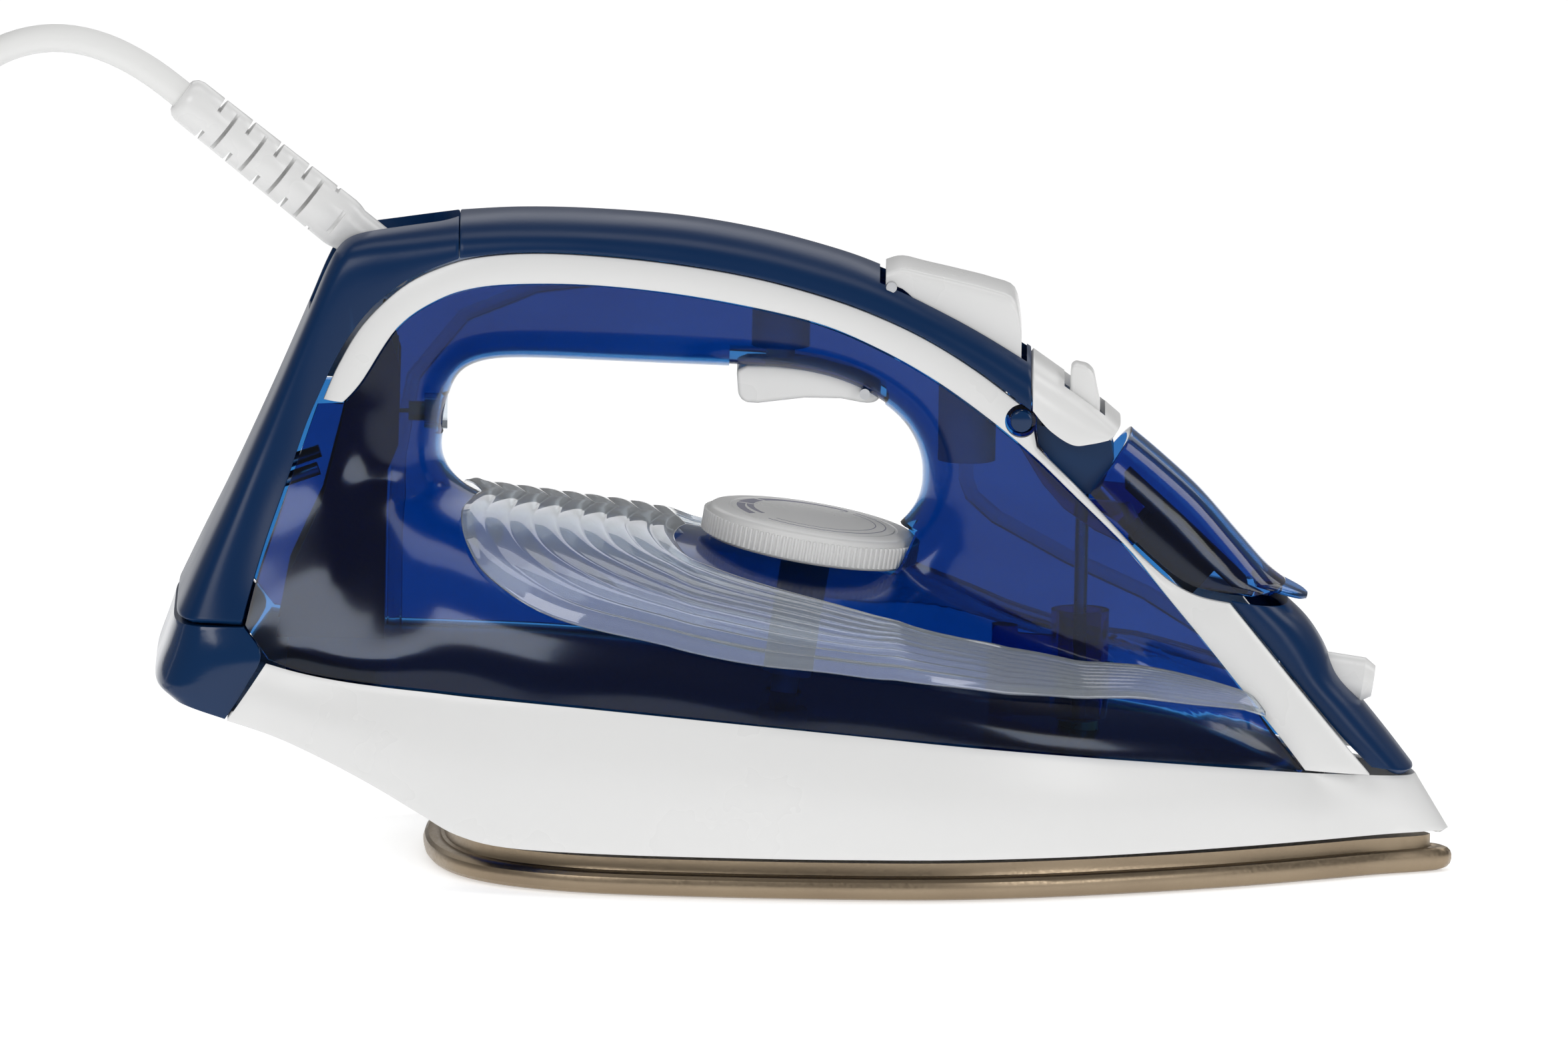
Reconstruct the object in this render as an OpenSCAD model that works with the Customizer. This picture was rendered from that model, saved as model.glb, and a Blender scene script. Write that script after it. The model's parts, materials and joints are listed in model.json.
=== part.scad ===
// Steam iron: sole and steam chamber below, translucent tank with an arched handle above,
// side trim, dial, steam slider, spray button, steam trigger, filler door and swivelling cord boot.
// +X is the nose, +Z is up and the soleplate rests on z = 0.

/* [Overall] */
// Length from the heel to the tip of the soleplate
iron_length = 291; // [243:1:349]
// Height of the handle's crest above the table
iron_height = 146; // [122:1:175]
// Width of the soleplate
iron_width = 116; // [97:1:139]

/* [Shells] */
// Wall of the outer covers
wall = 2.2; // [1.6:0.1:3]
// Wall of the water tank
tank_wall = 2.4; // [1.8:0.1:3.2]
// Gap left between neighbouring covers
seam = 0.3; // [0.2:0.05:0.6]
// Half width of the handle
grip_half = 16.5; // [14.5:0.5:20]

/* [Temperature dial] */
// Diameter of the dial
dial_d = 48.8; // [40:0.2:56]
// Height of the dial's rim
dial_h = 6.6; // [5:0.2:8]
// Diameter of the dial's spindle
spindle_d = 6; // [5:0.25:8]

/* [Controls] */
// Half width of the spray button
button_half = 11; // [8:0.5:12]
// Half width of the steam trigger
trigger_half = 7; // [5:0.5:9]
// Diameter of the steel pins that the button and the trigger turn on
pin_d = 2.4; // [1.8:0.1:3]
// Radial clearance of running fits
running = 0.06; // [0.03:0.01:0.1]
// Outer diameter of both pump barrels
pump_d = 13; // [11:0.5:15]
// Bore of both pump barrels
pump_bore = 9; // [7:0.5:10]
// Wire of the pump springs
spring_wire = 0.8; // [0.6:0.1:1]
// Sideways travel of the steam slider
slider_travel = 12; // [8:1:14]

/* [Cord] */
// Diameter of the mains cord
cord_d = 6.5; // [6:0.1:7]
// Diameter of the cord boot where it enters the cover
boot_d = 12; // [10:0.5:13]
// Length of the boot from its pivot to its tip
boot_reach = 62; // [50:1:70]

/* [Base] */
// Thickness of the soleplate
sole_h = 8; // [6.5:0.5:9]
// Diameter of the steam holes
steam_hole_d = 2.6; // [2:0.2:3.2]

/* [Hidden] */
$fn = 48;

// The curves below are drawn for the nominal size and stretched to the overall sizes.
kx = iron_length / 291;
// The base keeps its height; what stands above base_z is stretched by kz
base_z = 50;
kz = (iron_height - base_z) / (146 - base_z);
function up(z) = z <= base_z ? z : base_z + (z - base_z) * kz;
ky = iron_width / 116;
function at(x, z) = [x * kx, up(z)];
function place(x, y, z) = [x * kx, y, up(z)];

// Curve and surface helpers
function flat(rows) = [for (r = rows) each r];
function last(v) = len(v) - 1;
function cr(a, b, c, d, t) = 0.5 * (2 * b + (c - a) * t + (2 * a - 5 * b + 4 * c - d) * t * t
    + (3 * b - a - 3 * c + d) * t * t * t);
// Smooth curve through the points of a row list, n steps between neighbours
function smooth(p, n) = [for (i = [0 : last(p) - 1], k = [0 : n - 1])
        cr(p[max(i - 1, 0)], p[i], p[i + 1], p[min(i + 2, last(p))], k / n), p[last(p)]];
function steps(p, n) = [for (i = [0 : last(p) - 1], k = [0 : n - 1])
        p[i] + (p[i + 1] - p[i]) * k / n, p[last(p)]];
function power(v, e) = sign(v) * pow(abs(v), e);
function clamp(v) = max(0, min(1, v));
function smax(a, b, k) = max(a, b) + pow(max(k - abs(a - b), 0), 2) / (4 * k);

function wrapped(i, n, loop) = loop ? (i + n) % n : max(0, min(n - 1, i));
function normal_at(g, i, j, loop) =
    let (n = len(g), m = len(g[0]),
         a = g[wrapped(i + 1, n, loop)][j] - g[wrapped(i - 1, n, loop)][j],
         b = g[i][min(j + 1, m - 1)] - g[i][max(j - 1, 0)],
         c = cross(a, b)) c / max(norm(c), 1e-9);
// The grid moved along its normals: d > 0 is outwards
function moved(g, d, loop = false) = [for (i = [0 : len(g) - 1])
        [for (j = [0 : len(g[0]) - 1]) g[i][j] + d * normal_at(g, i, j, loop)]];

// Closed solid between two grids of the same size; rows may close into a loop
module between(outer, inner, loop = false) {
    n = len(outer);
    m = len(outer[0]);
    o = n * m;
    rows = loop ? n : n - 1;
    quad_out = [for (i = [0 : rows - 1], j = [0 : m - 2])
        let (a = i * m + j, b = ((i + 1) % n) * m + j) each [[a, a + 1, b + 1], [a, b + 1, b]]];
    quad_in = [for (f = quad_out) [f[2] + o, f[1] + o, f[0] + o]];
    sides = [for (i = [0 : rows - 1]) let (a = i * m, b = ((i + 1) % n) * m, c = a + m - 1, d = b + m - 1)
        each [[a, b, b + o], [a, b + o, a + o], [d, c, c + o], [d, c + o, d + o]]];
    ends = loop ? [] : [for (j = [0 : m - 2]) let (c = (n - 1) * m + j)
        each [[j + 1, j, j + o], [j + 1, j + o, j + 1 + o], [c, c + 1, c + 1 + o], [c, c + 1 + o, c + o]]];
    polyhedron(concat(flat(outer), flat(inner)), concat(quad_out, quad_in, sides, ends));
}
module skin(g, t, loop = false) between(g, moved(g, -t, loop), loop);

// Solid through closed cross-sections, capped at both ends
module loft(sections) {
    m = len(sections[0]);
    n = len(sections);
    walls = [for (i = [0 : n - 2], j = [0 : m - 1]) let (k = (j + 1) % m, a = i * m, b = a + m)
        each [[a + j, a + k, b + k], [a + j, b + k, b + j]]];
    caps = [for (j = [1 : m - 2]) each [[0, j + 1, j],
        [(n - 1) * m, (n - 1) * m + j, (n - 1) * m + j + 1]]];
    polyhedron(flat(sections), concat(walls, caps));
}
// A shell and the openings cut in it, kept as one mesh
module cut_shell() resize([0, 0, 0]) difference() { children(0); union() { children([1
    : $children - 1]); } }

// Round tube swept along points
module tube_along(path, d, sides = 8) {
    n = len(path);
    function dir(i) = let (v = path[min(i + 1, n - 1)] - path[max(i - 1, 0)]) v / norm(v);
    function side_of(t) = let (s = cross(t, abs(t[1]) > 0.9 ? [1, 0, 0] : [0, 1, 0])) s / norm(s);
    loft([for (i = [0 : n - 1]) let (t = dir(i), s = side_of(t), u = cross(t, s))
        [for (k = [0 : sides - 1]) path[i] + d / 2 * (cos(360 * k / sides) * s - sin(360 * k / sides) * u)]]);
}
module tilted(p, a) translate(p) rotate([0, a, 0]) children();
// An [x, z] outline drawn out to the same half width on both sides
module across(outline, half) translate([0, half, 0]) rotate([90, 0, 0]) linear_extrude(2 * half)
    polygon([for (p = outline) at(p[0], p[1])]);

// Outlines in the side view, [x, z]
// Plan half widths and heights of the line where the tank stands on the skirt
skirt_line_w = [[-126, 37], [-121, 38.2], [-98, 44.5], [-58, 53.5], [-6, 56.5], [18, 55], [40, 52],
    [62, 46],
    [84, 36.5], [100, 28], [111.6, 19.6], [127.3, 12], [137, 1]];
skirt_line_z = [[-126, 50.5], [-121, 49.3], [-112, 46.6], [-98, 45.3], [-58, 43.2], [-6, 39.2], [40, 34.8],
    [84, 29.5], [111.6, 25.2], [127.3, 23.7], [137, 22.4]];
// Height of the tank's crown along its centre line, under the handle
crown_z = [[-130, 150], [-108, 135], [-102, 108], [-97, 95], [-90, 86], [-82, 83], [-73, 80.2], [-40, 76.2],
    [-31, 74.6], [-26, 73.2], [0, 69.6], [20, 66.7], [30, 61.5], [45, 54.5], [60, 50], [80, 46.6],
        [98, 42.8],
    [112, 36]];
// Tank ring round the handle opening: opening edge x, z, then outer edge x, z and half width there
ring = [[-82, 96, -110, 103.8, 18.2], [-81.6, 100.5, -104, 104, 17.6], [-80.6, 104.8, -100, 108.6, 17.2],
    [-78.4, 109, -92.2, 121, 17], [-74.5, 111.2, -83.4, 127.3, 16.8], [-69, 112.2, -74.5, 130.2, 16.6],
    [-60, 112.3, -63, 131.2, 16.5], [-47, 112, -47.6, 131.1, 16.5], [-32, 111.6, -29.7, 129.4, 16.5],
    [-17, 111.3, -11.7, 126.4, 16.5], [-4, 110.7, 3, 122.8, 16.6], [6.5, 108.5, 15.3, 117.7, 16.8],
    [14, 105, 26, 112, 17], [19.5, 101, 36, 105.3, 17], [23, 96.3, 47, 96.8, 17.2],
        [24.8, 91.5, 58, 86.8, 17.3],
    [25.2, 87.6, 70, 75.3, 17.5], [25, 84.6, 82, 61.5, 17.8], [24.3, 82, 95, 45.8, 18.4],
    [23, 79.5, 111.6, 25.2, 19.6], [21, 77, 100, 27.4, 28], [17, 73.4, 84, 29.5, 36.5],
        [11, 69.6, 62, 32.2, 46],
    [2, 69.3, 40, 34.8, 52], [-10, 71, 18, 36.9, 55], [-23, 72.8, -6, 39.2, 56.5],
        [-36, 75.7, -32, 41.2, 55],
    [-52, 77.7, -58, 43.2, 53.5], [-66, 79.4, -80, 44.3, 48.5], [-73.5, 81.2, -98, 45.3, 44.5],
    [-77.6, 83.6, -112, 46.6, 40], [-80.2, 86.2, -120, 49, 38.4], [-81.6, 88.8, -125.2, 56.3, 36],
    [-82.2, 91, -122.3, 68, 30], [-82.3, 93.2, -117.5, 82, 23.5]];
// Trim strip: upper edge x, z, then lower edge x, z and half width
trim = [[-109.3, 104.6, -104.2, 104.4, 17.8], [-106, 112.5, -99.6, 109.6, 17.4],
    [-100.6, 121.6, -92.2, 121, 17],
    [-92, 130.2, -83.4, 127.3, 16.8], [-83, 135, -74.5, 130.2, 16.6], [-73, 137.6, -63, 131.2, 16.5],
    [-58, 138.4, -47.6, 131.1, 16.5], [-36, 137.1, -29.7, 129.4, 16.5], [-15, 134.2, -11.7, 126.4, 16.5],
    [3, 129.8, 3, 122.8, 16.6], [16, 125.2, 15.3, 117.7, 16.8], [27, 120, 26, 112, 17],
        [38, 113.2, 36, 105.3, 17],
    [49.2, 104.8, 47, 96.8, 17.2], [50.8, 97, 49.6, 94.6, 17.2], [61, 87, 58, 86.8, 17.3],
    [72, 75.6, 70, 75.3, 17.5], [80, 68, 82, 61.5, 17.8], [87, 64.2, 88, 54.3, 18.1],
        [94.5, 62.6, 95, 45.8, 18.4],
    [106, 49, 102, 37.4, 19], [127, 24.2, 111.6, 25.2, 19.6]];
// Covers: crest x, z, then lower edge x, z, half width and squareness of the section
rear_back = [[-141, 57.2, -126, 57, 36, 6], [-136, 68.5, -124, 64, 31.5, 6],
    [-130.4, 80.7, -120.8, 74.5, 26.4, 6],
    [-124.7, 93.8, -116.8, 86, 22, 6], [-119, 107.3, -113.1, 97.5, 19.4, 6],
        [-113, 122, -110.2, 104.8, 17.9, 6],
    [-108.6, 133, -106.6, 113, 17.4, 5.5], [-105.4, 138.4, -102.6, 120, 17.1, 5],
        [-101, 140.8, -97.4, 126.4, 17, 4],
    [-92, 142.6, -89.2, 132.6, 16.7, 3], [-79.7, 144.6, -79.5, 136.7, 16.5, 2.4]];
grip_top = [[-79.2, 144.7, -79, 136.9, 16.5, 2.4], [-66, 145.7, -66, 138.5, 16.5, 2.2],
    [-50, 145.7, -50, 138.5, 16.5, 2.2], [-30, 144.6, -30, 136.6, 16.5, 2.2],
        [-12, 141.9, -12, 133.6, 16.5, 2.2],
    [4, 138, 4, 129.5, 16.6, 2.2], [15, 134.2, 16, 125.2, 16.8, 2.3], [27, 128.4, 27, 120, 17, 2.5],
    [38, 122.6, 38, 113.2, 17, 2.7], [49.2, 116, 49.2, 104.9, 17.2, 2.8]];
nose_top = [[107.5, 60.6, 94.8, 62.5, 15.6, 2.6], [112, 56.4, 99, 57.4, 15.4, 2.6],
    [115.4, 51.6, 104, 51.3, 15, 2.6],
    [119, 44.6, 109, 45.2, 14.6, 2.6], [124.4, 38.4, 115, 38, 14.2, 2.6], [130.4, 31.2, 121, 31, 13.6, 2.6],
    [136.4, 23.6, 127, 24.9, 12.4, 2.6]];
console_top = [[49.6, 115.7, 49.6, 105, 17.2, 2.8], [55, 112, 53.5, 100.6, 17, 2.9],
    [61, 107.8, 58.6, 97.4, 16.8, 3],
    [65.6, 104.2, 62.8, 97.6, 16.4, 3], [69.4, 100.8, 66.6, 98.4, 15.8, 3]];
door_top = [[72, 98.6, 62.8, 86.2, 15.6, 2.6], [79, 92.9, 69.5, 79.3, 15.6, 2.6],
    [88, 84.8, 77.5, 71.8, 15.5, 2.6],
    [96.8, 75, 85, 66.3, 15.2, 2.6], [103, 68.2, 92.4, 64.2, 14.6, 2.5], [107, 65, 99.4, 63.2, 13, 2.4]];

// Half width of the tank body at [x, z] in nominal units
function body_half(x, z) =
    let (w0 = lookup(x, skirt_line_w), z0 = lookup(x, skirt_line_z), z1 = lookup(x, crown_z),
         rise = clamp((z - 50) / 53), rear = clamp((-80 - x) / 20),
         w = w0 + (17.5 - w0) * rise * rear,
         t = clamp((z - z0) / (z1 - z0)))
    w * pow(1 - pow(t, 2.2), 0.4545);
grip_round = 14;
function column_half(d, w) = w * sqrt(1 - pow(1 - clamp(d / grip_round), 2));
function scaled_half(w) = w <= 20 ? w + (grip_half - 16.5) : w * ky
    + (grip_half - 16.5) * clamp((30 - w) / 10);
// The same for what meets the tank lower down, where it closes to nothing at the nose
function widened(w) = w <= 20 ? lookup(w, [[0, 0], [12, scaled_half(12)], [20, scaled_half(20)]])
    : scaled_half(w);

// Section of the tank from one outer edge over the opening edge to the other
function tank_row(r, m) =
    let (d = [r[0], r[1]], p = [r[2], r[3]], full = norm(p - d), edge = min(r[4], 17.5),
         end_w = smax(column_half(full, edge), body_half(p[0], p[1]), 3))
    [for (k = [-m : m]) let (v = abs(k) / m, s = v * v * (1.6 - 0.6 * v), q = d + (p - d) * s,
            w = smax(column_half(s * full, edge), body_half(q[0], q[1]), 3 * clamp(s * full / 3))
                + (r[4] - end_w) * s * s)
        [q[0] * kx, -sign(k) * (v == 0 ? 0 : scaled_half(w)), up(q[1])]];
function ring_rows(n) = let (c = len(ring))
    [for (i = [0 : c - 1], k = [0 : n - 1]) let (a = ring[(i + c - 1) % c], b = ring[i], e =
        ring[(i + 1) % c],
            f = ring[(i + 2) % c], t = k / n, s = cr(a, b, e, f, t), l = b + (e - b) * t)
        [s[0], s[1], l[2], l[3], l[4]]];
tank_grid = [for (r = ring_rows(2)) tank_row(r, 9)];

// Section of a cover: a superellipse from one lower edge over the crest to the other
function cover_row(r, m) = [for (k = [-m : m]) let (a = 90 * k / m, e = 2 / r[5],
        s = power(cos(a), e), y = power(sin(a), e), p = [r[2], r[3]] + ([r[0], r[1]] - [r[2], r[3]]) * s)
    [p[0] * kx, y * (r[4] > 20 ? scaled_half(r[4]) : r[4] + grip_half - 16.5), up(p[1])]];
function cover_grid(rows, n = 2, m = 7) = [for (r = smooth(rows, n)) cover_row(r, m)];

// Base: sole, chamber, heater and their covers
sole_outline = [[-85, 0], [-84.2, 14], [-81.5, 27], [-76, 39], [-66, 48.5], [-50, 55], [-28, 57.5], [0, 58],
    [28, 56.3], [52, 50.5], [76, 41], [98, 30.3], [116, 19.5], [130, 10.5], [139, 5.8], [144, 2.8],
        [145.5, 0]];
sole_mid = 30;
to_tip = 115.5;
to_heel = 115;
sole_half = 58;
// The sole's outline drawn in towards its middle, d at the sides and at both ends
function drawn_in(front, rear, d, side) =
    let (half = [for (q = smooth(sole_outline, 3)) let (dx = q[0] - sole_mid)
            [(sole_mid + dx) * kx - sign(dx) * ((dx > 0 ? front : rear) + d) * abs(dx) / (dx > 0 ? to_tip
                : to_heel),
                q[1] * (ky - (side + d) / sole_half)]])
    concat(half, [for (i = [last(half) - 1 : -1 : 1]) [half[i][0], -half[i][1]]]);
function inset_outline(d) = drawn_in(0, 0, d, 0);
// The chamber stands this far inside the sole at the nose, the heel and the sides
chamber_in = [29, 13, 9];
function chamber_outline(d) = drawn_in(chamber_in[0], chamber_in[1], d, chamber_in[2]);
module sole_layer(d, z0, z1) translate([0, 0, z0]) linear_extrude(z1 - z0) polygon(inset_outline(d));
module chamber_layer(d, z0, z1) translate([0, 0, z0]) linear_extrude(z1 - z0) polygon(chamber_outline(d));
module along_edge(d, stations) for (x = stations, s = [-1, 1])
    translate([x * kx, s * (lookup(x, sole_outline) * ky - d)]) children();
hole_stations = [-52, -34, -16, 2, 20, 38, 56, 74, 92];
nose_holes = [98, 105];
module steam_holes(h) translate([0, 0, -1]) {
    along_edge(12, hole_stations) cylinder(d = steam_hole_d, h = h + 2, $fn = 16);
    along_edge(19, hole_stations) cylinder(d = steam_hole_d, h = h + 2, $fn = 16);
    for (x = nose_holes) translate([x * kx, 0]) cylinder(d = steam_hole_d, h = h + 2, $fn = 16);
}
sole_screw_at = [[-56, 30], [-56, -30], [88, 0]];
screw_d = 4;
chamber_h = 9;
chamber_top = sole_h + chamber_h;
cover_t = 1.6;
gasket_t = 1.6;
shield_z = chamber_top + cover_t + gasket_t;
shield_t = 1.4;
hole_slack = 0.4;
module soleplate() color("#9c8b78") difference() {
    union() {
        sole_layer(2.2, 0, 0.8);
        sole_layer(0.7, 0.8, 2.2);
        sole_layer(0, 2.2, 4.8);
        sole_layer(1.2, 4.8, 5.8);
        sole_layer(4.6, 5.8, sole_h);
    }
    steam_holes(sole_h);
}
// Tubular heater: a hairpin cast into the chamber, its cold ends standing up at the rear
heater_d = 6.6;
heater_y = 15;
heater_z = sole_h + 4.6;
heater_x = [-48 * kx, 46 * kx];
cold_end_d = 4;
module hairpin(d, end_d) {
    for (s = [-1, 1]) translate([heater_x[0], s * heater_y, heater_z]) {
        rotate([0, 90, 0]) cylinder(d = d, h = heater_x[1] - heater_x[0]);
        sphere(d = d);
        cylinder(d = end_d, h = 18);
    }
    translate([heater_x[1], 0, heater_z]) rotate([0, 0, -90]) rotate_extrude(angle = 180)
        translate([heater_y, 0]) circle(d = d);
}
groove_in = 3.4;
groove_w = 12;
module steam_chamber() color("#b9bbbd") difference() {
    chamber_layer(0, sole_h, chamber_top);
    translate([0, 0, chamber_top - 6]) linear_extrude(7) difference() {
        polygon(chamber_outline(groove_in));
        polygon(chamber_outline(groove_in + groove_w));
    }
    steam_holes(chamber_top);
    hairpin(heater_d, cold_end_d + 1);
    for (p = sole_screw_at) translate([p[0] * kx, p[1] * ky, sole_h - 1])
        cylinder(d = screw_d + hole_slack, h = 20);
}
module heating_element() color("#6d6a67") hairpin(heater_d, cold_end_d);
module cover_holes(z) {
    for (p = sole_screw_at) translate([p[0] * kx, p[1] * ky, z - 1])
        cylinder(d = screw_d + hole_slack, h = 5);
    for (s = [-1, 1]) translate([heater_x[0], s * heater_y, z - 1]) cylinder(d = cold_end_d + 1, h = 5);
}
module chamber_cover() color("#c9cacc") difference() {
    chamber_layer(0.6, chamber_top, chamber_top + cover_t);
    cover_holes(chamber_top);
    translate(valve_at + [0, 0, chamber_top - 1]) cylinder(d = 5, h = 5);
}
module chamber_gasket() color("#b5443a") translate([0, 0, chamber_top + cover_t]) linear_extrude(gasket_t)
    difference() {
    polygon(chamber_outline(1));
    polygon(chamber_outline(4.5));
}
module heat_shield() color("#2b2d31") difference() {
    chamber_layer(0, shield_z, shield_z + shield_t);
    translate([-62 * kx, -12, shield_z - 1]) cube([88 * kx, 24, 4]);
    cover_holes(shield_z);
    translate(valve_at + [0, 0, shield_z - 1]) cylinder(d = 5, h = 5);
}
screw_head_d = 7;
module sole_screws() color("#8d9094") for (p = sole_screw_at) translate([p[0] * kx, p[1] * ky, 0]) {
    translate([0, 0, sole_h]) cylinder(d = screw_d, h = shield_z + shield_t - sole_h);
    translate([0, 0, shield_z + shield_t]) difference() {
        cylinder(d = screw_head_d, h = 2.4);
        translate([0, 0, 1.2]) cube([1, 5, 3], center = true);
    }
}

// Dial and thermostat, on one leaning axis
lean = 8.5;
dial_at = place(0, 0, 70.4);
sleeve_d = spindle_d + 5;
dial_gap = 0.5;
dial_side_gap = 0.8;
therm_top = 34;
axis_x = function (z) dial_at[0] + (z - dial_at[2]) * tan(lean);
module on_dial_axis() tilted(dial_at, lean) children();
function down_axis(z) = (z - dial_at[2]) / cos(lean);
module temperature_dial() color("#f2f2f1") on_dial_axis() difference() {
    rotate_extrude($fn = 96) polygon([[0, 1], [dial_d / 2 - 2.4, 1], [dial_d / 2 - 2.4, 0],
        [dial_d / 2 - 0.6, 0],
        [dial_d / 2, 0.8], [dial_d / 2, dial_h - 1.8], [dial_d / 2 - 0.6, dial_h - 0.6],
            [dial_d / 2 - 2.2, dial_h],
        [dial_d / 2 - 9, dial_h + 0.5], [0, dial_h + 0.8]]);
    translate([0, 0, -1]) cylinder(d = spindle_d, h = dial_h - 1);
}
module dial_spindle() color("#e8e8e6") on_dial_axis() difference() {
    translate([0, 0, down_axis(therm_top)]) cylinder(d = spindle_d, h = dial_h - 2 - down_axis(therm_top));
    translate([0, 0, down_axis(therm_top) - 1]) cylinder(d = 3, h = 7);
}
module spindle_sleeve() color("#d9dadb") on_dial_axis() difference() {
    union() {
        translate([0, 0, down_axis(floor_z(-5) + 6)])
            cylinder(d = sleeve_d, h = -down_axis(floor_z(-5) + 6) - 3);
        translate([0, 0, -3]) cylinder(d = spindle_d + 2.4, h = 3);
    }
    translate([0, 0, -80]) cylinder(d = spindle_d + 2 * running, h = 90);
}
module thermostat() color("#c8b9a0") translate([axis_x(therm_top), 0, 0]) {
    translate([0, 0, chamber_top + cover_t]) cylinder(d = 15, h = 3);
    translate([-12, -5, chamber_top + cover_t + 3]) cube([24, 10, 2.4]);
    tilted([0, 0, therm_top - 0.4], lean) translate([0, 0, -3.6]) cylinder(d = 2.6, h = 8);
    translate([0, 0, chamber_top + cover_t + 5])
        cylinder(d = 7, h = therm_top - 4 - chamber_top - cover_t - 5);
}
module thermal_fuse() color("#d8d2c4") translate([-46 * kx, 0, chamber_top + cover_t + 2])
    rotate([0, 90, 0]) {
    cylinder(d = 4, h = 12);
    translate([0, 0, -8]) cylinder(d = 1, h = 28);
}

// Skirt
// Upper edge x, z, half width, then lower edge x, z, half width
skirt_rows = [[-120.4, 48.6, 38.2, -129, 34.9, 38], [-113, 46.9, 39.8, -118, 31.8, 40.5],
    [-104, 45.7, 42.6, -106, 27, 44],
    [-93, 44.9, 45.8, -95, 21.8, 47.2], [-83, 44.4, 48.4, -85, 16.4, 49.8],
        [-75, 43.9, 50.2, -77, 12.4, 51.8],
    [-64, 43.4, 52.6, -66, 10.2, 54], [-44, 42.2, 55, -45, 9.6, 56.6], [-15, 40, 56.4, -15, 9.5, 58],
    [10, 37.8, 55.6, 10, 9.5, 57.6], [33, 35.4, 53, 35, 9.5, 55], [56, 32.9, 47.6, 60, 9.5, 48.2],
    [77, 30.3, 39.2, 82, 9.5, 38.6], [96, 27.7, 30, 102, 9.5, 28], [111.6, 25.2, 19.8, 118, 9.5, 18.4],
    [122, 24.1, 14.6, 130, 9.5, 10.8], [130.5, 23.3, 10.4, 138.5, 9.5, 6.6],
        [135.4, 22.7, 5.4, 143, 9.5, 3.4],
    [137, 22.4, 0, 144.6, 9.5, 0]];
function skirt_row(r, s, m) = let (a = [r[3] * kx, s * r[5] * ky, r[4]],
        b = [r[0] * kx, s * widened(r[2]), r[1] - seam - 0.2],
        swell = 1.4 * clamp(r[5] / 20))
    [for (j = [0 : m]) let (t = j / m) a + (b - a) * t + [0, s * swell * sin(180 * t), 0]];
skirt_half = smooth(skirt_rows, 1);
skirt_grid = concat([for (r = skirt_half) skirt_row(r, -1, 4)],
    [for (i = [last(skirt_half) - 1 : -1 : 0]) skirt_row(skirt_half[i], 1, 4)]);
underside = [for (i = [0 : 5]) skirt_rows[i]];
module skirt() color("#f4f4f3") resize([0, 0, 0]) union() {
    skin(skirt_grid, wall);
    // The sloped underside behind the sole
    between([for (r = underside) [for (s = [1, -1]) [r[3] * kx, s * (r[5] * ky - 0.6), r[4] + 0.2]]],
        [for (r = underside) [for (s = [1, -1]) [r[3] * kx + 1, s * (r[5] * ky - 0.6), r[4] + wall]]]);
}

// Tank
floor_drop = 3.2;
floor_t = 2;
floor_in = 3.4;
function floor_z(x) = lookup(x, skirt_line_z) - floor_drop;
lens_at = [-82.4, 0, 99.6];
module water_tank() color("#2a4b9b", 0.6) cut_shell() {
    skin(tank_grid, tank_wall, true);
    on_dial_axis() translate([0, 0, -12]) cylinder(d = sleeve_d + 1.6, h = 20);
    on_dial_axis() translate([0, 0, -dial_gap]) cylinder(d = dial_d + 2 * dial_side_gap, h = dial_h + 3);
    // Slot that the steam trigger works through
    translate([-18.4 * kx, -trigger_half - 0.6, up(103)]) cube([35 * kx, 2 * trigger_half + 1.2, 12 * kz]);
    translate([lens_at[0] * kx - 8, -4.4, up(lens_at[2]) - 4.4]) cube([16, 8.8, 8.8]);
}
floor_x = [-116, -98, -78, -58, -32, -6, 18, 40, 62, 84, 100, 110];
module tank_floor() color("#27406f") cut_shell() {
    between([for (x = floor_x) [for (s = [-1, 1]) [x * kx, s * (lookup(x, skirt_line_w) * ky - floor_in),
        floor_z(x) + floor_t]]],
        [for (x = floor_x) [for (s = [-1, 1]) [x * kx, s * (lookup(x, skirt_line_w) * ky - floor_in),
            floor_z(x)]]]);
    on_dial_axis() translate([0, 0, -80]) cylinder(d = spindle_d + 2, h = 78);
    translate(valve_at) cylinder(d = seat_d + 0.4, h = 60);
}
// Clear insert: its outer and inner borders as [x, y] in plan
window_out = [[-73, 0], [-75.5, 11], [-77.6, 22], [-76, 33], [-70, 41.5], [-56, 48.5], [-31, 52],
    [-5, 53.6],
    [20, 51.8], [42, 46.6], [60, 39.6], [85, 30], [103, 21.4]];
window_in = [[-27.5, 0], [-29.4, 9], [-29.8, 18], [-26, 27], [-17, 32], [-6, 35.6], [8, 38.4], [22, 39.8],
    [34, 36],
    [45, 30], [60, 25], [82, 20.8], [100, 19.2]];
function crown_at(x, y, d) = let (w = lookup(x, skirt_line_w), z0 = lookup(x, skirt_line_z),
        z1 = lookup(x, crown_z))
    [x * kx, y / w * widened(w), up(z0 + (z1 - z0) * pow(1 - pow(clamp(abs(y) / w), 2.2), 0.4545)) + d];
window_rise = 1.3;
window_t = 1.6;
function window_row(a, b, s, m, d) = [for (j = [m : -1 : 0]) let (t = j / m, p = a + (b - a) * t)
    crown_at(p[0], s * p[1], d + 1.3 * clamp((p[0] - 62) / 12))];
function window_grid(m, d) = let (o = smooth(window_out, 2), i = smooth(window_in, 2), n = last(o)) concat(
    [for (k = [n : -1 : 1]) window_row(o[k], i[k], -1, m, d)],
        [for (k = [0 : n]) window_row(o[k], i[k], 1, m, d)]);
module tank_window() color("#dfe6ea", 0.55)
    between(window_grid(6, window_rise + window_t), window_grid(6, window_rise));

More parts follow.
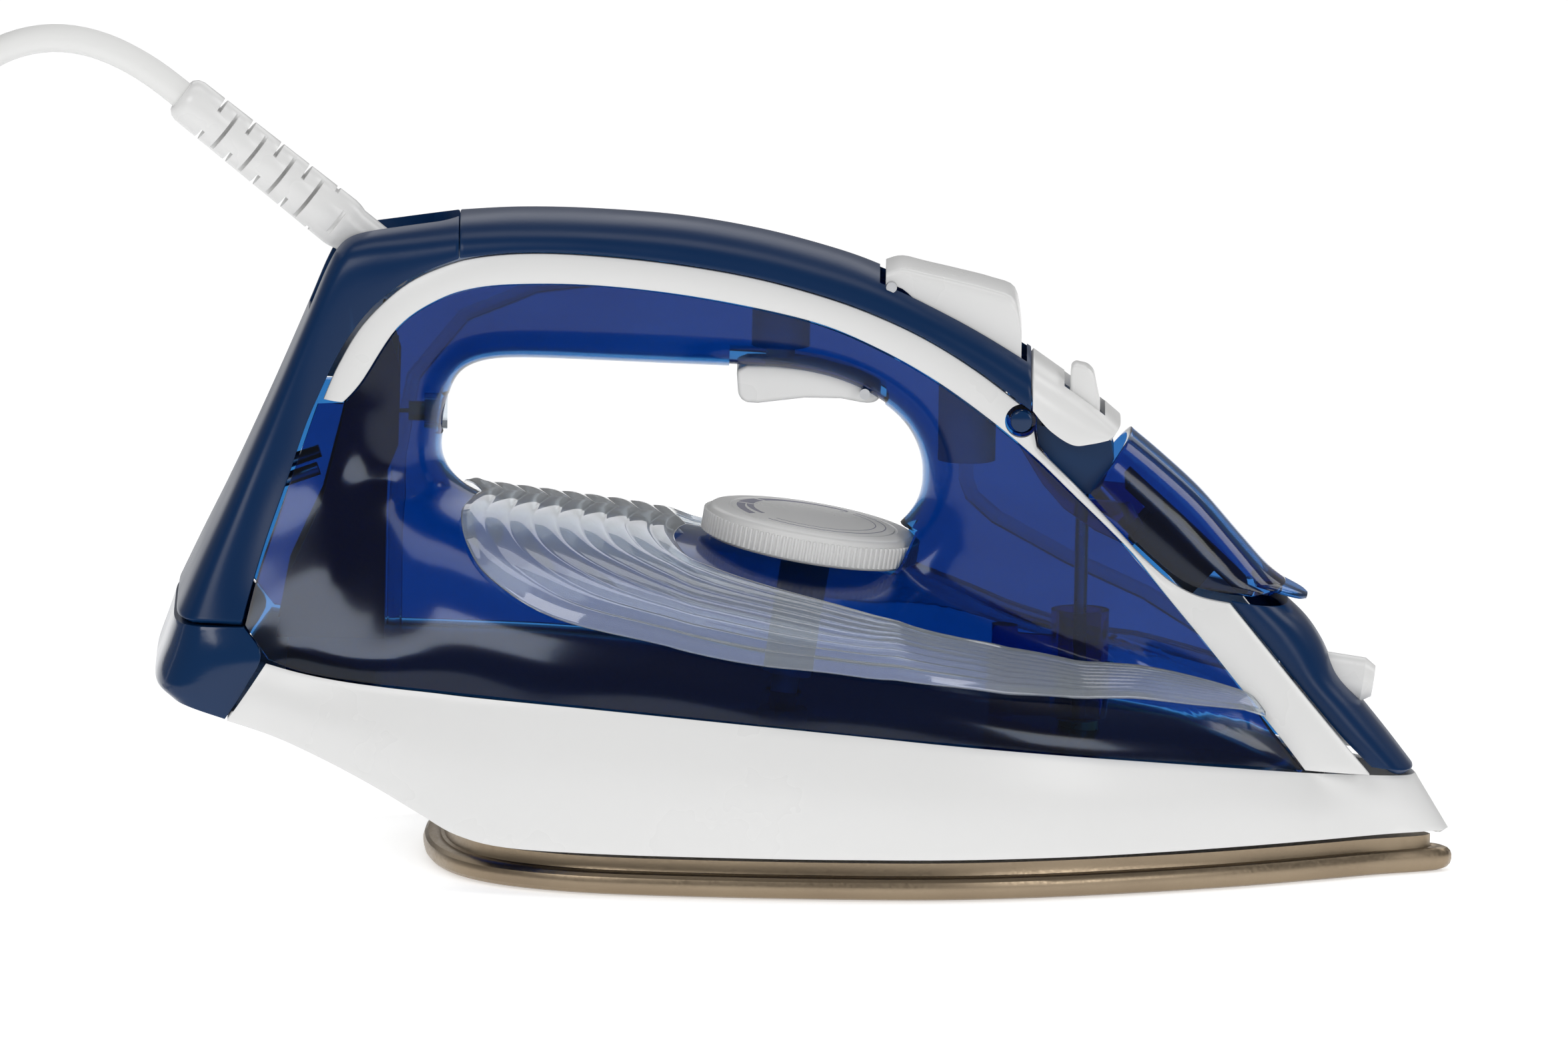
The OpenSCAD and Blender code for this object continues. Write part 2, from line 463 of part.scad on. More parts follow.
// Covers
module trim_side() {
    rows = steps(trim, 2);
    g = [for (r = rows) let (w = r[4] + (grip_half - 16.5), hi = at(r[0], r[1]), lo = at(r[2], r[3]), n =
        (hi - lo) / norm(hi - lo))
        [for (j = [0, 0.5, 1]) let (p = lo + n * 1.5 * seam + (hi - lo - 3 * n * seam) * j)
            [p[0], -(w - j * j * 0.9) - (j == 0.5 ? 0.25 : 0), p[1]]]];
    cut_shell() {
        between(g, [for (r = g) [for (p = r) p + [0, 2, 0]]]);
        translate([hinge_at[0], 0, hinge_at[1]]) rotate([90, 0, 0]) cylinder(r = hinge_r + seam, h = 30);
    }
}
module side_trims() color("#eeeeec") {
    trim_side();
    mirror([0, 1, 0]) trim_side();
}
button_hinge = at(17.5, 131.6);
button_gap = 0.5;
button_from = 15.4 * kx - button_gap;
button_to = 47.6 * kx + button_gap;
module handle_cover() color("#14355c") cut_shell() {
    skin(cover_grid(grip_top, 2, 8), wall);
    translate([button_from, -button_half - button_gap, up(108)])
        cube([button_to - button_from, 2 * (button_half + button_gap), 40 * kz]);
}
boot_pivot = place(-93, 0, 132);
boot_angle = 37.9;
boot_slot = boot_d + 1.4;
module rear_cover() color("#15365d") cut_shell() {
    skin(cover_grid(rear_back, 2, 8), wall);
    // Slot that lets the boot swing from the rear face up to the top
    translate([-120 * kx, -boot_slot / 2, boot_pivot[2] - 9]) cube([35 * kx, boot_slot, 60]);
    translate([-84.6 * kx, 0, up(120)]) cylinder(d = boot_slot, h = 40 * kz);
}
heel_rows = [[-143, 39.4, -129.4, 35.2, 37.6, 4.5], [-145.2, 41.2, -127, 39, 38.2, 5],
    [-145.3, 44, -124.6, 43.2, 38.4, 5],
    [-143.4, 49.8, -121.6, 49.8, 38, 5], [-141.5, 55.7, -125.5, 55.7, 36, 5]];
module heel_rest() color("#16375f") cut_shell() {
    loft([for (r = smooth(heel_rows, 2)) [for (p = cover_row(r, 8)) p]]);
    loft([for (r = [[-141, 42, -116, 41, 35.4, 4], [-142.4, 45, -118, 47, 35.6, 4],
        [-138.8, 60, -124, 60, 33.4, 4]])
        [for (p = cover_row(r, 6)) p]]);
}
module nose_cover() color("#15365d") cut_shell() {
    skin(cover_grid(nose_top, 2, 7), wall);
    nozzle_axis() cylinder(d = nozzle_d + 0.8, h = 20, center = true);
}
slider_x = 61.2 * kx;
slider_z = up(104);
fin_half = 4;
module control_console() color("#f3f3f2") cut_shell() {
    skin(cover_grid(console_top, 2, 7), wall);
    translate([slider_x - 4.6, -slider_travel / 2 - fin_half - 0.6, slider_z - 8])
        cube([9.2, slider_travel + 2 * fin_half + 1.2, 24]);
}

// Filler
hinge_at = at(47.1, 102.6);
hinge_r = 3.4;
arm_in = grip_half - 4.6;
arm_t = 1.8;
module door_arm() translate([0, -arm_in, 0]) rotate([90, 0, 0]) linear_extrude(arm_t)
    polygon([for (p = [[45, 99.6], [47, 96],
    [52, 88], [57, 82.4], [64, 77.6], [72, 74], [76, 77], [72, 84], [64, 84.6], [61, 84.6], [58.6, 87.6],
        [55, 91.6], [51, 97],
    [50.4, 101.6]]) at(p[0], p[1])]);
module filler_door() color("#1d3f8f", 0.7) difference() {
    union() {
        resize([0, 0, 0]) union() {
            skin(cover_grid(door_top, 2, 6), 1.8);
            // Thumb lip
            hull() {
                for (s = [-1, 1]) translate(place(103.4, s * 8.6, 64.8)) sphere(d = 2.4, $fn = 16);
                for (s = [-1, 1]) translate(place(111, s * 5.6, 62.2)) sphere(d = 2, $fn = 16);
            }
            for (s = [0, 1]) mirror([0, s, 0]) door_arm();
        }
        for (s = [-1, 1]) translate([hinge_at[0], s * (arm_in + arm_t / 2), hinge_at[1]]) rotate([90, 0, 0])
            cylinder(r = hinge_r, h = arm_t, center = true);
    }
    translate([hinge_at[0], 0, hinge_at[1]]) rotate([90, 0, 0])
        cylinder(d = pin_d + 2 * running, h = 60, center = true);
}
module door_pins() color("#8c8f93") for (s = [-1, 1])
    translate([hinge_at[0], s * (arm_in - 1.2), hinge_at[1]])
    rotate([-s * 90, 0, 0]) cylinder(d = pin_d, h = arm_t + 3.2);
funnel_at = place(84.6, 0, 75.6);
funnel_tilt = 42;
module funnel_plane() tilted(funnel_at, funnel_tilt) children();
mouth = [16, 14];
module filler_funnel() color("#1b2c55") funnel_plane() difference() {
    union() {
        translate([-18, -11.5, -1]) cube([36, 23, 2]);
        translate([-mouth[0] / 2 - 1.6, -mouth[1] / 2 - 1.6, -9])
            cube([mouth[0] + 3.2, mouth[1] + 3.2, 8.5]);
    }
    translate([-mouth[0] / 2, -mouth[1] / 2, -12]) cube([mouth[0], mouth[1], 16]);
}
nozzle_d = 10;
nozzle_at = place(118.4, 0, 43.6);
nozzle_tilt = 98;
module nozzle_axis() tilted(nozzle_at, nozzle_tilt) children();
module spray_nozzle() color("#f2f2f1") nozzle_axis() difference() {
    union() {
        translate([0, 0, -6]) cylinder(d = nozzle_d, h = 12.4);
        translate([0, 0, 6.4]) cylinder(d1 = nozzle_d, d2 = nozzle_d - 3, h = 2.4);
        translate([0, 0, -12]) cylinder(d = 5, h = 6.5);
    }
    translate([0, 0, -13]) cylinder(d = 2, h = 20);
    translate([0, 0, 6]) cylinder(d = 0.8, h = 4, $fn = 16);
}
module nozzle_nut() color("#c9cbcd") nozzle_axis() translate([0, 0, -9]) difference() {
    cylinder(d = nozzle_d + 3, h = 2.6);
    translate([0, 0, -1]) cylinder(d = 5, h = 5);
}

// Steam valve
valve_at = [slider_x, 0, 0];
seat_d = 9;
seat_z = floor_z(61) - 1.4;
needle_d = 3;
module valve_seat() color("#c9a46a") translate(valve_at + [0, 0, seat_z]) difference() {
    cylinder(d = seat_d, h = 5);
    translate([0, 0, -1]) cylinder(d = 1.6, h = 8);
    translate([0, 0, 2]) cylinder(d = needle_d + 2, h = 4);
}
tube_h = 24;
module valve_tube() color("#39599f", 0.7) translate(valve_at + [0, 0, floor_z(43) + 2.2]) difference() {
    union() {
        cylinder(d = 13, h = tube_h);
        translate([-17, 0, 0]) cylinder(d = 6, h = tube_h - 4);
        translate([-15, -0.8, 0]) cube([10, 1.6, tube_h - 6]);
    }
    translate([0, 0, -1]) cylinder(d = 9.6, h = tube_h + 2);
}
needle_top = up(90.8);
module valve_needle() color("#b9bcc0") translate(valve_at) {
    translate([0, 0, seat_z + 2.3]) cylinder(d1 = 0.8, d2 = needle_d, h = 3);
    translate([0, 0, seat_z + 5.3]) cylinder(d = needle_d, h = needle_top - seat_z - 5.3);
}
slider_rest = -slider_travel / 2;
// Open box under the console that closes the gap down to the tank and the door
shroud_half = slider_travel / 2 + fin_half + 1.6;
shroud_wall = 0.7;
shroud_outline = [[50.6, 101], [49.6, 97.2], [60, 85.8], [64.4, 85.4], [68, 93.6], [67.2, 97.8],
    [58.6, 99.2]];
shroud_hollow = [[52.4, 110], [51.4, 97.8], [60.6, 87.4], [63.6, 87], [66.9, 94], [66.9, 110]];
module valve_shroud() color("#15305a") difference() {
    across(shroud_outline, shroud_half);
    across(shroud_hollow, shroud_half - shroud_wall);
    translate(valve_at + [0, 0, up(80)]) cylinder(d = needle_d + 1, h = 12 * kz);
}
module steam_slider() color("#efefee") translate([slider_x, slider_rest, slider_z]) {
    translate([-5, -fin_half - 0.6, -10.5]) cube([10, 2 * fin_half + 1.2, 1.8]);
    translate([-3.4, -fin_half, -9]) cube([6.8, 2 * fin_half, 12]);
    rotate([90, 0, 0]) translate([0, 0, -fin_half]) linear_extrude(2 * fin_half)
        polygon([[-3.4, 2], [3.4, 2], [2, 8.4], [0.6, 9.8], [-2.2, 10.4], [-3.2, 9.6]]);
}

// Button, trigger and their pumps
spray_x = 35 * kx;
steam_x = -7 * kx;
spray_floor = up(91);
steam_floor = up(116);
spray_barrel_h = 17 * kz;
steam_barrel_h = 16 * kz;
module barrel(h) difference() {
    cylinder(d = pump_d, h = h);
    translate([0, 0, 1.8]) cylinder(d = pump_bore, h = h);
    translate([0, 0, -1]) cylinder(d = 2, h = 4);
}
module plunger(h, head) {
    cylinder(d = pump_bore - 2 * running, h = 3);
    cylinder(d = 4, h = h);
    translate([0, 0, h - head]) cylinder(d = 6.5, h = head);
}
module coil_spring(d, turns, h) {
    n = turns * 10;
    tube_along([for (i = [0 : n]) [d / 2 * cos(36 * i), d / 2 * sin(36 * i), spring_wire / 2
        + (h - spring_wire) * i / n]], spring_wire, 6);
}
spring_h = 6 * kz;
spring_coils = 4;
spring_d = pump_bore - 2.4;
spray_push_z = up(113.4);
steam_push_z = up(113.5);
module spray_pump_barrel() color("#e4e4e2") translate([spray_x, 0, spray_floor]) barrel(spray_barrel_h);
module steam_pump_barrel() color("#e4e4e2") translate([steam_x, 0, steam_floor + steam_barrel_h])
    mirror([0, 0, 1]) barrel(steam_barrel_h);
module spray_spring() color("#b4b7bb") translate([spray_x, 0, spray_floor + 2])
    coil_spring(spring_d, spring_coils, spring_h);
module spray_plunger() color("#dcdcda") translate([spray_x, 0, spray_floor + 2.2 + spring_h])
    plunger(spray_push_z - spray_floor - 2.2 - spring_h, 2);
module steam_spring() color("#b4b7bb") translate([steam_x, 0, steam_floor
    + steam_barrel_h - 2 - spring_h]) coil_spring(spring_d, spring_coils, spring_h);
module steam_plunger() color("#dcdcda") translate([steam_x, 0, steam_floor
    + steam_barrel_h - 2.2 - spring_h]) mirror([0, 0, 1])
    plunger(steam_floor + steam_barrel_h - 2.2 - spring_h - steam_push_z, 2);
// Spray button: x, underside z, top z
button_rows = [[16.2, 131.4, 134.4], [20, 131, 135.4], [26, 125.4, 134.2], [33, 119.6, 132.7],
    [40, 115.4, 131], [45.2, 114, 128.8], [46.8, 114, 122]];
function button_section(r) = let (w = button_half, b = min(2.4, (r[2] - r[1]) / 3), x = r[0] * kx,
        lo = up(r[1]), hi = up(r[2]))
    [[x, -w, hi - b], [x, -w + 0.6 * b, hi - 0.3 * b], [x, -w + 2 * b, hi], [x, w - 2 * b, hi],
        [x, w - 0.6 * b, hi - 0.3 * b], [x, w, hi - b], [x, w, lo], [x, -w, lo]];
module spray_button() color("#f4f4f3") difference() {
    union() {
        loft([for (r = button_rows) button_section(r)]);
        translate([button_hinge[0], 0, button_hinge[1]]) rotate([90, 0, 0])
            cylinder(d = pin_d + 2.4, h = 2 * button_half - 4, center = true);
    }
    translate([button_hinge[0], 0, button_hinge[1]]) rotate([90, 0, 0])
        cylinder(d = pin_d + 2 * running, h = 60, center = true);
}
module button_pin() color("#9a9da1") translate([button_hinge[0], 0, button_hinge[1]]) rotate([90, 0, 0])
    cylinder(d = pin_d, h = 2 * button_half + 4, center = true);
trigger_hinge = at(12, 106.8);
trigger_outline = [[-17.4, 111.2], [-16.9, 105.4], [-15.4, 103.9], [-12.4, 103.8], [-2, 105.2],
    [6, 105.2], [10.6, 104.4], [13, 104.2],
    [14.8, 105.2], [14.8, 107.4], [9, 110], [0, 112.2], [-9, 112.7], [-15, 112.5]];
module steam_trigger() color("#f1f1f0") difference() {
    translate([0, trigger_half, 0]) rotate([90, 0, 0]) linear_extrude(2 * trigger_half)
        polygon([for (p = trigger_outline) at(p[0] + 0.6, p[1])]);
    translate([trigger_hinge[0], 0, trigger_hinge[1]]) rotate([90, 0, 0])
        cylinder(d = pin_d + 2 * running, h = 60, center = true);
}
module trigger_pin() color("#9a9da1") translate([trigger_hinge[0], 0, trigger_hinge[1]]) rotate([90, 0, 0])
    cylinder(d = pin_d, h = 2 * trigger_half + 5, center = true);
hose_d = 3.4;
module spray_hose() color("#d7dadd") tube_along([for (p =
    [[35, 0, 90.6], [35, 0.6, 86.6], [36.4, 3, 82.4], [42, 6.4, 77], [58, 8.6, 68], [76, 8.6, 60],
    [90, 7, 51.6], [98, 3, 47], [102.4, 0.6, 45.8], [105.8, 0, 45.4]]) place(p[0], p[1], p[2])], hose_d);
module steam_hose() color("#c9ccd0") tube_along([for (p =
    [[-7, 0, 133.6], [-7.6, 0.6, 136], [-11, 3, 137.6], [-22, 7, 135], [-40, 8, 130], [-62, 8, 127],
    [-78, 8, 120], [-89, 8, 106], [-92, 8, 88], [-92.4, 8, 70], [-92.4, 8, 54], [-92.4, 8, 45.4]])
        place(p[0], p[1], p[2])], hose_d);

// Rear: lamp, wiring and boot
module indicator_lens() color("#e9edf0", 0.8) tilted(place(lens_at[0], 0, lens_at[2]), 90) difference() {
    translate([0, 0, -4]) cylinder(d = 8, h = 5.2);
    translate([0, 0, -5]) cylinder(d = 5.2, h = 5);
}
module indicator_lamp() color("#e0742c") tilted(place(lens_at[0], 0, lens_at[2]) - [7.5, 0, 0], 90) {
    cylinder(d = 4.4, h = 6);
    translate([0, 0, -5]) cylinder(d = 1, h = 5.5);
}
terminal_at = place(-101, 0, 74);
module terminal_block() color("#e7e1d2") translate(terminal_at) difference() {
    cube([10, 24, 12], center = true);
    for (y = [-8, 0, 8]) translate([0, y, -10]) cylinder(d = 3.6, h = 20);
}
clamp_at = place(-97, 0, 112);
module cord_clamp() color("#2c3036") translate(clamp_at) difference() {
    cube([9, 20, 6], center = true);
    cylinder(d = cord_d + 0.6, h = 20, center = true);
}
module mains_wires() color("#6b4a2b") for (y = [-8, 0, 8])
    tube_along([for (p = [[-95, y * 0.3, 124], [-96.6, y * 0.3, 119], [-97, y * 0.3, 115.4],
        [-97, y * 0.3, 108.6], [-98.4, y * 0.5, 102], [-100.4, y * 0.9, 94], [-101, y, 86], [-101, y, 72]])
        place(p[0], p[1], p[2])], 2);
// Side walls and front wall that keep the wiring apart from the water
duct_half = 13.6;
duct_wall = 1;
duct_outline = [[-94.4, 50], [-94.4, 88], [-92, 94], [-92, 112], [-94, 118], [-98, 116], [-103, 107],
    [-105, 97], [-109, 80], [-116, 64], [-118.5, 50]];
duct_hollow = [[-95.6, 40], [-95.6, 89], [-60, 89], [-60, 200], [-140, 200], [-140, 40]];
module cable_duct() color("#101d3a") difference() {
    across(duct_outline, duct_half);
    across(duct_hollow, duct_half - duct_wall);
}
cover_screw_at = [[-118, 12, 84], [-118, -12, 84]];
module cover_screws() color("#8d9094") for (p = cover_screw_at)
    tilted(place(p[0], p[1], p[2]) + [-3, 0, 0], 70) {
    cylinder(d = 3, h = 12);
    translate([0, 0, -2]) cylinder(d = 6, h = 2);
}
boot_tip_d = boot_d - 1.6;
pivot_d = boot_d + 0.8;
module cord_boot() color("#f4f4f2") translate(boot_pivot) {
    rotate([90, 0, 0]) cylinder(d = pivot_d, h = boot_d, center = true);
    rotate([90, 0, 0]) cylinder(d = 5, h = 2 * (grip_half - wall - 0.8), center = true);
    rotate([0, boot_angle - 90, 0]) difference() {
        rotate_extrude() polygon([[0, 0], [boot_d / 2 - 0.6, 0], [boot_d / 2 - 0.6, 14], [boot_d / 2, 17],
            [boot_tip_d / 2, boot_reach - 1],
            [boot_tip_d / 2 - 1, boot_reach], [0, boot_reach]]);
        // Staggered slits that let it bend
        for (i = [0 : 4]) translate([0, 0, 24 + 7.6 * i]) for (s = [-1, 1]) rotate([0, 0, i % 2 * 90])
            translate([s * 7.4, 0, 0]) cube([7, 12, 1.2], center = true);
    }
}

// Cord: chosen points from the boot's tip to the coil, and from the coil to the plug
tip = function (d) boot_pivot + d * [-cos(boot_angle), 0, sin(boot_angle)];
cord_fall = [[-150, 0, 176], [-159, 0, 180.5], [-169, 0, 182.5], [-179, 0, 181], [-188, 0, 176],
    [-195, 0, 168], [-200, 0, 157],
    [-203, 0, 144], [-205, 0, 128], [-206, 0, 110], [-206, 0, 92], [-206, 0, 74], [-206.5, 2, 57],
        [-207, 7, 41], [-208, 15, 27],
    [-209, 25, 16.5], [-209.5, 33, 11.4]];
cord_tail = [[-299.5, 40, 3.3], [-299.5, 31, 4.2], [-299.5, 22, 8], [-299.5, 13, 13.6], [-299.5, 4, 17.4],
    [-299.5, 0, 18.3], [-299.5, -3.7, 18.6]];
coil_at = [-254.5, 40];
coil_r = 38.5;
coil_cols = 3;
coil_rows = 2;
coil_shift = (kx - 1) * -150;
module power_cord() color("#f1f1f0") {
    tube_along(concat([tip(boot_reach + 0.6), tip(boot_reach + 5)],
        [for (p = cord_fall) [p[0] + coil_shift, p[1], p[2]]]), cord_d);
    translate([coil_shift, 0, 0]) tube_along(cord_tail, cord_d);
}
coil_w = coil_cols * cord_d;
module cord_coil() color("#f1f1f0") translate([coil_at[0] + coil_shift, coil_at[1], 0])
    rotate_extrude($fn = 64)
    translate([coil_r - coil_w / 2, 0]) square([coil_w, coil_rows * cord_d]);
plug_at = [-299.5, -4, 18.6];
plug_d = 37;
module on_plug() translate(plug_at + [coil_shift, 0, 0]) rotate([90, 0, 0]) children();
module plug_body() color("#f1f1f0") on_plug() rotate_extrude()
    polygon([[0, 0], [5, 0], [7, 14], [12, 18], [17, 24], [plug_d / 2, 27], [plug_d / 2, 34],
    [17, 36], [0, 36]]);
module plug_pins() color("#c9ccd0") on_plug() for (s = [-1, 1]) translate([9.5 * s, 0, 36]) {
    cylinder(d = 4.8, h = 17);
    translate([0, 0, 17]) cylinder(d1 = 4.8, d2 = 3, h = 2);
}

soleplate();
steam_chamber();
heating_element();
chamber_cover();
chamber_gasket();
thermostat();
thermal_fuse();
heat_shield();
skirt();
water_tank();
tank_floor();
tank_window();
side_trims();
handle_cover();
rear_cover();
heel_rest();
nose_cover();
control_console();
filler_funnel();
spray_nozzle();
nozzle_nut();
spindle_sleeve();
indicator_lens();
indicator_lamp();
terminal_block();
cord_clamp();
mains_wires();
spray_pump_barrel();
steam_pump_barrel();
spray_hose();
steam_hose();
valve_tube();
valve_seat();
button_pin();
trigger_pin();
door_pins();
cover_screws();
sole_screws();
temperature_dial();
dial_spindle();
steam_slider();
valve_needle();
spray_button();
spray_plunger();
spray_spring();
steam_trigger();
steam_plunger();
steam_spring();
filler_door();
cord_boot();
power_cord();
cord_coil();
plug_body();
plug_pins();
valve_shroud();
cable_duct();
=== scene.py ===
# Looks for the steam iron: fine surfaces over the CAD frame, materials, cord, light and camera.
import json
import math

import bmesh
import bpy
import numpy as np
from mathutils import Matrix, Vector


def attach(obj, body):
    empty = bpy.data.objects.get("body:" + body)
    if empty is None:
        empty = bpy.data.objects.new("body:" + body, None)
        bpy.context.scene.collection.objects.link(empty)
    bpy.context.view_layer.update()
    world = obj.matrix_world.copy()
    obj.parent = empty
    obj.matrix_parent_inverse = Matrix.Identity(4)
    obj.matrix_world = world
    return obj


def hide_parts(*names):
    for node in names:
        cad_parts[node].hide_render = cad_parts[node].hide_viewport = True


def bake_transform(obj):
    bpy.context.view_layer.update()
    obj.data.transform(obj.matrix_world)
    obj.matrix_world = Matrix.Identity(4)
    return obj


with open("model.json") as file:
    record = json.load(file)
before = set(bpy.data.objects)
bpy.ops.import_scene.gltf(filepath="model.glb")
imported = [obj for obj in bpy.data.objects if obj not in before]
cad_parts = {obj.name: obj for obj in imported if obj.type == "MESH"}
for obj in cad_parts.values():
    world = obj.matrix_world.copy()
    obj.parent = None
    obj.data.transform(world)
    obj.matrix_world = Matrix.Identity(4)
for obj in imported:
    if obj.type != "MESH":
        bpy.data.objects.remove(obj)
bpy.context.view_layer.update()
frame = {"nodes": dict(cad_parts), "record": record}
mm = 0.001


# Numbers along a curve

# n steps between neighbouring rows, on a smooth curve through them
def smoothRows(rows, n):
    p = np.array(rows, float)
    out = []
    for i in range(len(p) - 1):
        a, b, c, d = p[max(i - 1, 0)], p[i], p[i + 1], p[min(i + 2, len(p) - 1)]
        for k in range(n):
            t = k / n
            out.append(0.5 * (2 * b + (c - a) * t + (2 * a - 5 * b + 4 * c - d) * t ** 2
                              + (3 * b - a - 3 * c + d) * t ** 3))
    out.append(p[-1])
    return np.array(out)


def lookup(x, table):
    return np.interp(x, table[:, 0], table[:, 1])


def clamp(v, low=0.0, high=1.0):
    return np.minimum(np.maximum(v, low), high)


def smoothMax(a, b, k):
    return np.maximum(a, b) + np.maximum(k - np.abs(a - b), 0) ** 2 / (4 * k)


# 0 before start, 1 after end, smooth between
def spread(t, start, end):
    s = clamp((t - start) / (end - start))
    return s * s * (3 - 2 * s)


# Meshes

def meshObject(name, verts, faces, smooth=True, scale=mm):
    mesh = bpy.data.meshes.new(name)
    mesh.from_pydata([tuple(float(c) * scale for c in v) for v in verts], [], faces)
    mesh.update()
    obj = bpy.data.objects.new(name, mesh)
    bpy.context.collection.objects.link(obj)
    tidyMesh(mesh)
    mesh.polygons.foreach_set("use_smooth", [smooth] * len(mesh.polygons))
    return obj


def tidyMesh(mesh, gap=1e-6):
    bm = bmesh.new()
    bm.from_mesh(mesh)
    bmesh.ops.remove_doubles(bm, verts=bm.verts, dist=gap)
    bmesh.ops.recalc_face_normals(bm, faces=bm.faces)
    bm.to_mesh(mesh)
    bm.free()


# Applies the modifiers and marks edges sharper than the angle
def bake(obj, angle=32):
    depsgraph = bpy.context.evaluated_depsgraph_get()
    mesh = bpy.data.meshes.new_from_object(obj.evaluated_get(depsgraph))
    old = obj.data
    obj.modifiers.clear()
    obj.data = mesh
    bpy.data.meshes.remove(old)
    mesh.polygons.foreach_set("use_smooth", [True] * len(mesh.polygons))
    mesh.set_sharp_from_angle(angle=math.radians(angle))
    return obj


def gridFaces(nu, nv, loopU=False, loopV=False):
    return [(i * nv + j, i * nv + (j + 1) % nv, (i + 1) % nu * nv + (j + 1) % nv, (i + 1) % nu * nv + j)
            for i in range(nu if loopU else nu - 1) for j in range(nv if loopV else nv - 1)]


def addBevel(obj, width, segments=2, angle=40):
    bevel = obj.modifiers.new("bevel", "BEVEL")
    bevel.width = width * mm
    bevel.segments = segments
    bevel.limit_method = "ANGLE"
    bevel.angle_limit = math.radians(angle)
    bevel.harden_normals = False


def gridNormals(g, loopU):
    du = np.roll(g, -1, 0) - np.roll(g, 1, 0)
    if not loopU:
        du[0], du[-1] = g[1] - g[0], g[-1] - g[-2]
    dv = np.empty_like(g)
    dv[:, 1:-1] = g[:, 2:] - g[:, :-2]
    dv[:, 0], dv[:, -1] = g[:, 1] - g[:, 0], g[:, -1] - g[:, -2]
    n = np.cross(du, dv)
    return n / np.maximum(np.linalg.norm(n, axis=2, keepdims=True), 1e-9)


# Closed shell between a grid of points and the same grid moved inwards
def shell(name, grid, thickness, loopU=False, bevel=0.35, inner=None):
    g = np.array(grid, float)
    nu, nv = g.shape[:2]
    if inner is None:
        inner = g - gridNormals(g, loopU) * thickness
    o = nu * nv
    faces = gridFaces(nu, nv, loopU)
    faces += [tuple(o + k for k in reversed(f)) for f in faces]
    for i in range(nu if loopU else nu - 1):
        a, b = i * nv, (i + 1) % nu * nv
        faces += [(a, b, b + o, a + o), (b + nv - 1, a + nv - 1, a + nv - 1 + o, b + nv - 1 + o)]
    if not loopU:
        for j in range(nv - 1):
            c = (nu - 1) * nv + j
            faces += [(j + 1, j, j + o, j + 1 + o), (c, c + 1, c + 1 + o, c + o)]
    obj = meshObject(name, np.concatenate([g.reshape(-1, 3), np.array(inner).reshape(-1, 3)]), faces)
    if bevel:
        addBevel(obj, bevel, 2, 50)
    return obj


# Closed solid through closed sections
def loft(name, sections, bevel=0.4, segments=2, angle=40):
    g = np.array(sections, float)
    nu, nv = g.shape[:2]
    faces = gridFaces(nu, nv, False, True) + [tuple(range(nv)), tuple(range((nu - 1) * nv, nu * nv))]
    obj = meshObject(name, g.reshape(-1, 3), faces)
    if bevel:
        addBevel(obj, bevel, segments, angle)
    return obj


# Profile points (radius, height) turned about the local Z axis, then moved by place
def revolve(name, profile, steps=96, place=None, bevel=0):
    verts, faces = [], []
    n = len(profile)
    for k in range(steps):
        a = 2 * math.pi * k / steps
        verts += [(r * math.cos(a), r * math.sin(a), z) for r, z in profile]
    for k in range(steps):
        for j in range(n - 1):
            faces.append((k * n + j, (k + 1) % steps * n + j, (k + 1) % steps * n + j + 1, k * n + j + 1))
    obj = meshObject(name, verts, faces)
    bm = bmesh.new()
    bm.from_mesh(obj.data)
    bmesh.ops.dissolve_degenerate(bm, edges=bm.edges, dist=1e-7)
    bmesh.ops.holes_fill(bm, edges=[e for e in bm.edges if e.is_boundary])
    bmesh.ops.recalc_face_normals(bm, faces=bm.faces)
    bm.to_mesh(obj.data)
    bm.free()
    if place is not None:
        obj.data.transform(place)
    if bevel:
        addBevel(obj, bevel)
    return obj


# Outline points in the plane across the axis, drawn from low to high along it
def extruded(name, outline, low, high, axis="y", bevel=0.4, segments=2):
    def at(p, h):
        return (p[0], h, p[1]) if axis == "y" else (p[0], p[1], h)

    n = len(outline)
    verts = [at(p, low) for p in outline] + [at(p, high) for p in outline]
    faces = [tuple(range(n)), tuple(range(n, 2 * n))] + [(i, (i + 1) % n, (i + 1) % n + n, i + n) for i in range(n)]
    obj = meshObject(name, verts, faces)
    if bevel:
        addBevel(obj, bevel, segments, 30)
    return obj


# Round tube along a path of points in mm, its frame carried along without twist
def sweep(name, path, radius, sides=16):
    p = np.array(path, float)
    t = np.gradient(p, axis=0)
    t /= np.linalg.norm(t, axis=1, keepdims=True)
    side = np.cross(t[0], [0, 1, 0] if abs(t[0][1]) < 0.9 else [1, 0, 0])
    rings = []
    for k in range(len(p)):
        side = side - t[k] * side.dot(t[k])
        side /= np.linalg.norm(side)
        up = np.cross(t[k], side)
        rings.append([p[k] + radius * (math.cos(a) * side + math.sin(a) * up)
                      for a in (2 * math.pi * j / sides for j in range(sides))])
    g = np.array(rings)
    faces = gridFaces(len(p), sides, False, True)
    faces += [tuple(range(sides)), tuple(range((len(p) - 1) * sides, len(p) * sides))]
    return meshObject(name, g.reshape(-1, 3), faces)


# Takes the cutters out of the piece
def cut(obj, *cutters):
    for c in cutters:
        mod = obj.modifiers.new("cut", "BOOLEAN")
        mod.object = c
        mod.operation = "DIFFERENCE"
        mod.solver = "EXACT"
    bpy.context.view_layer.update()
    bake(obj)
    for c in cutters:
        bpy.data.objects.remove(c)
    return obj


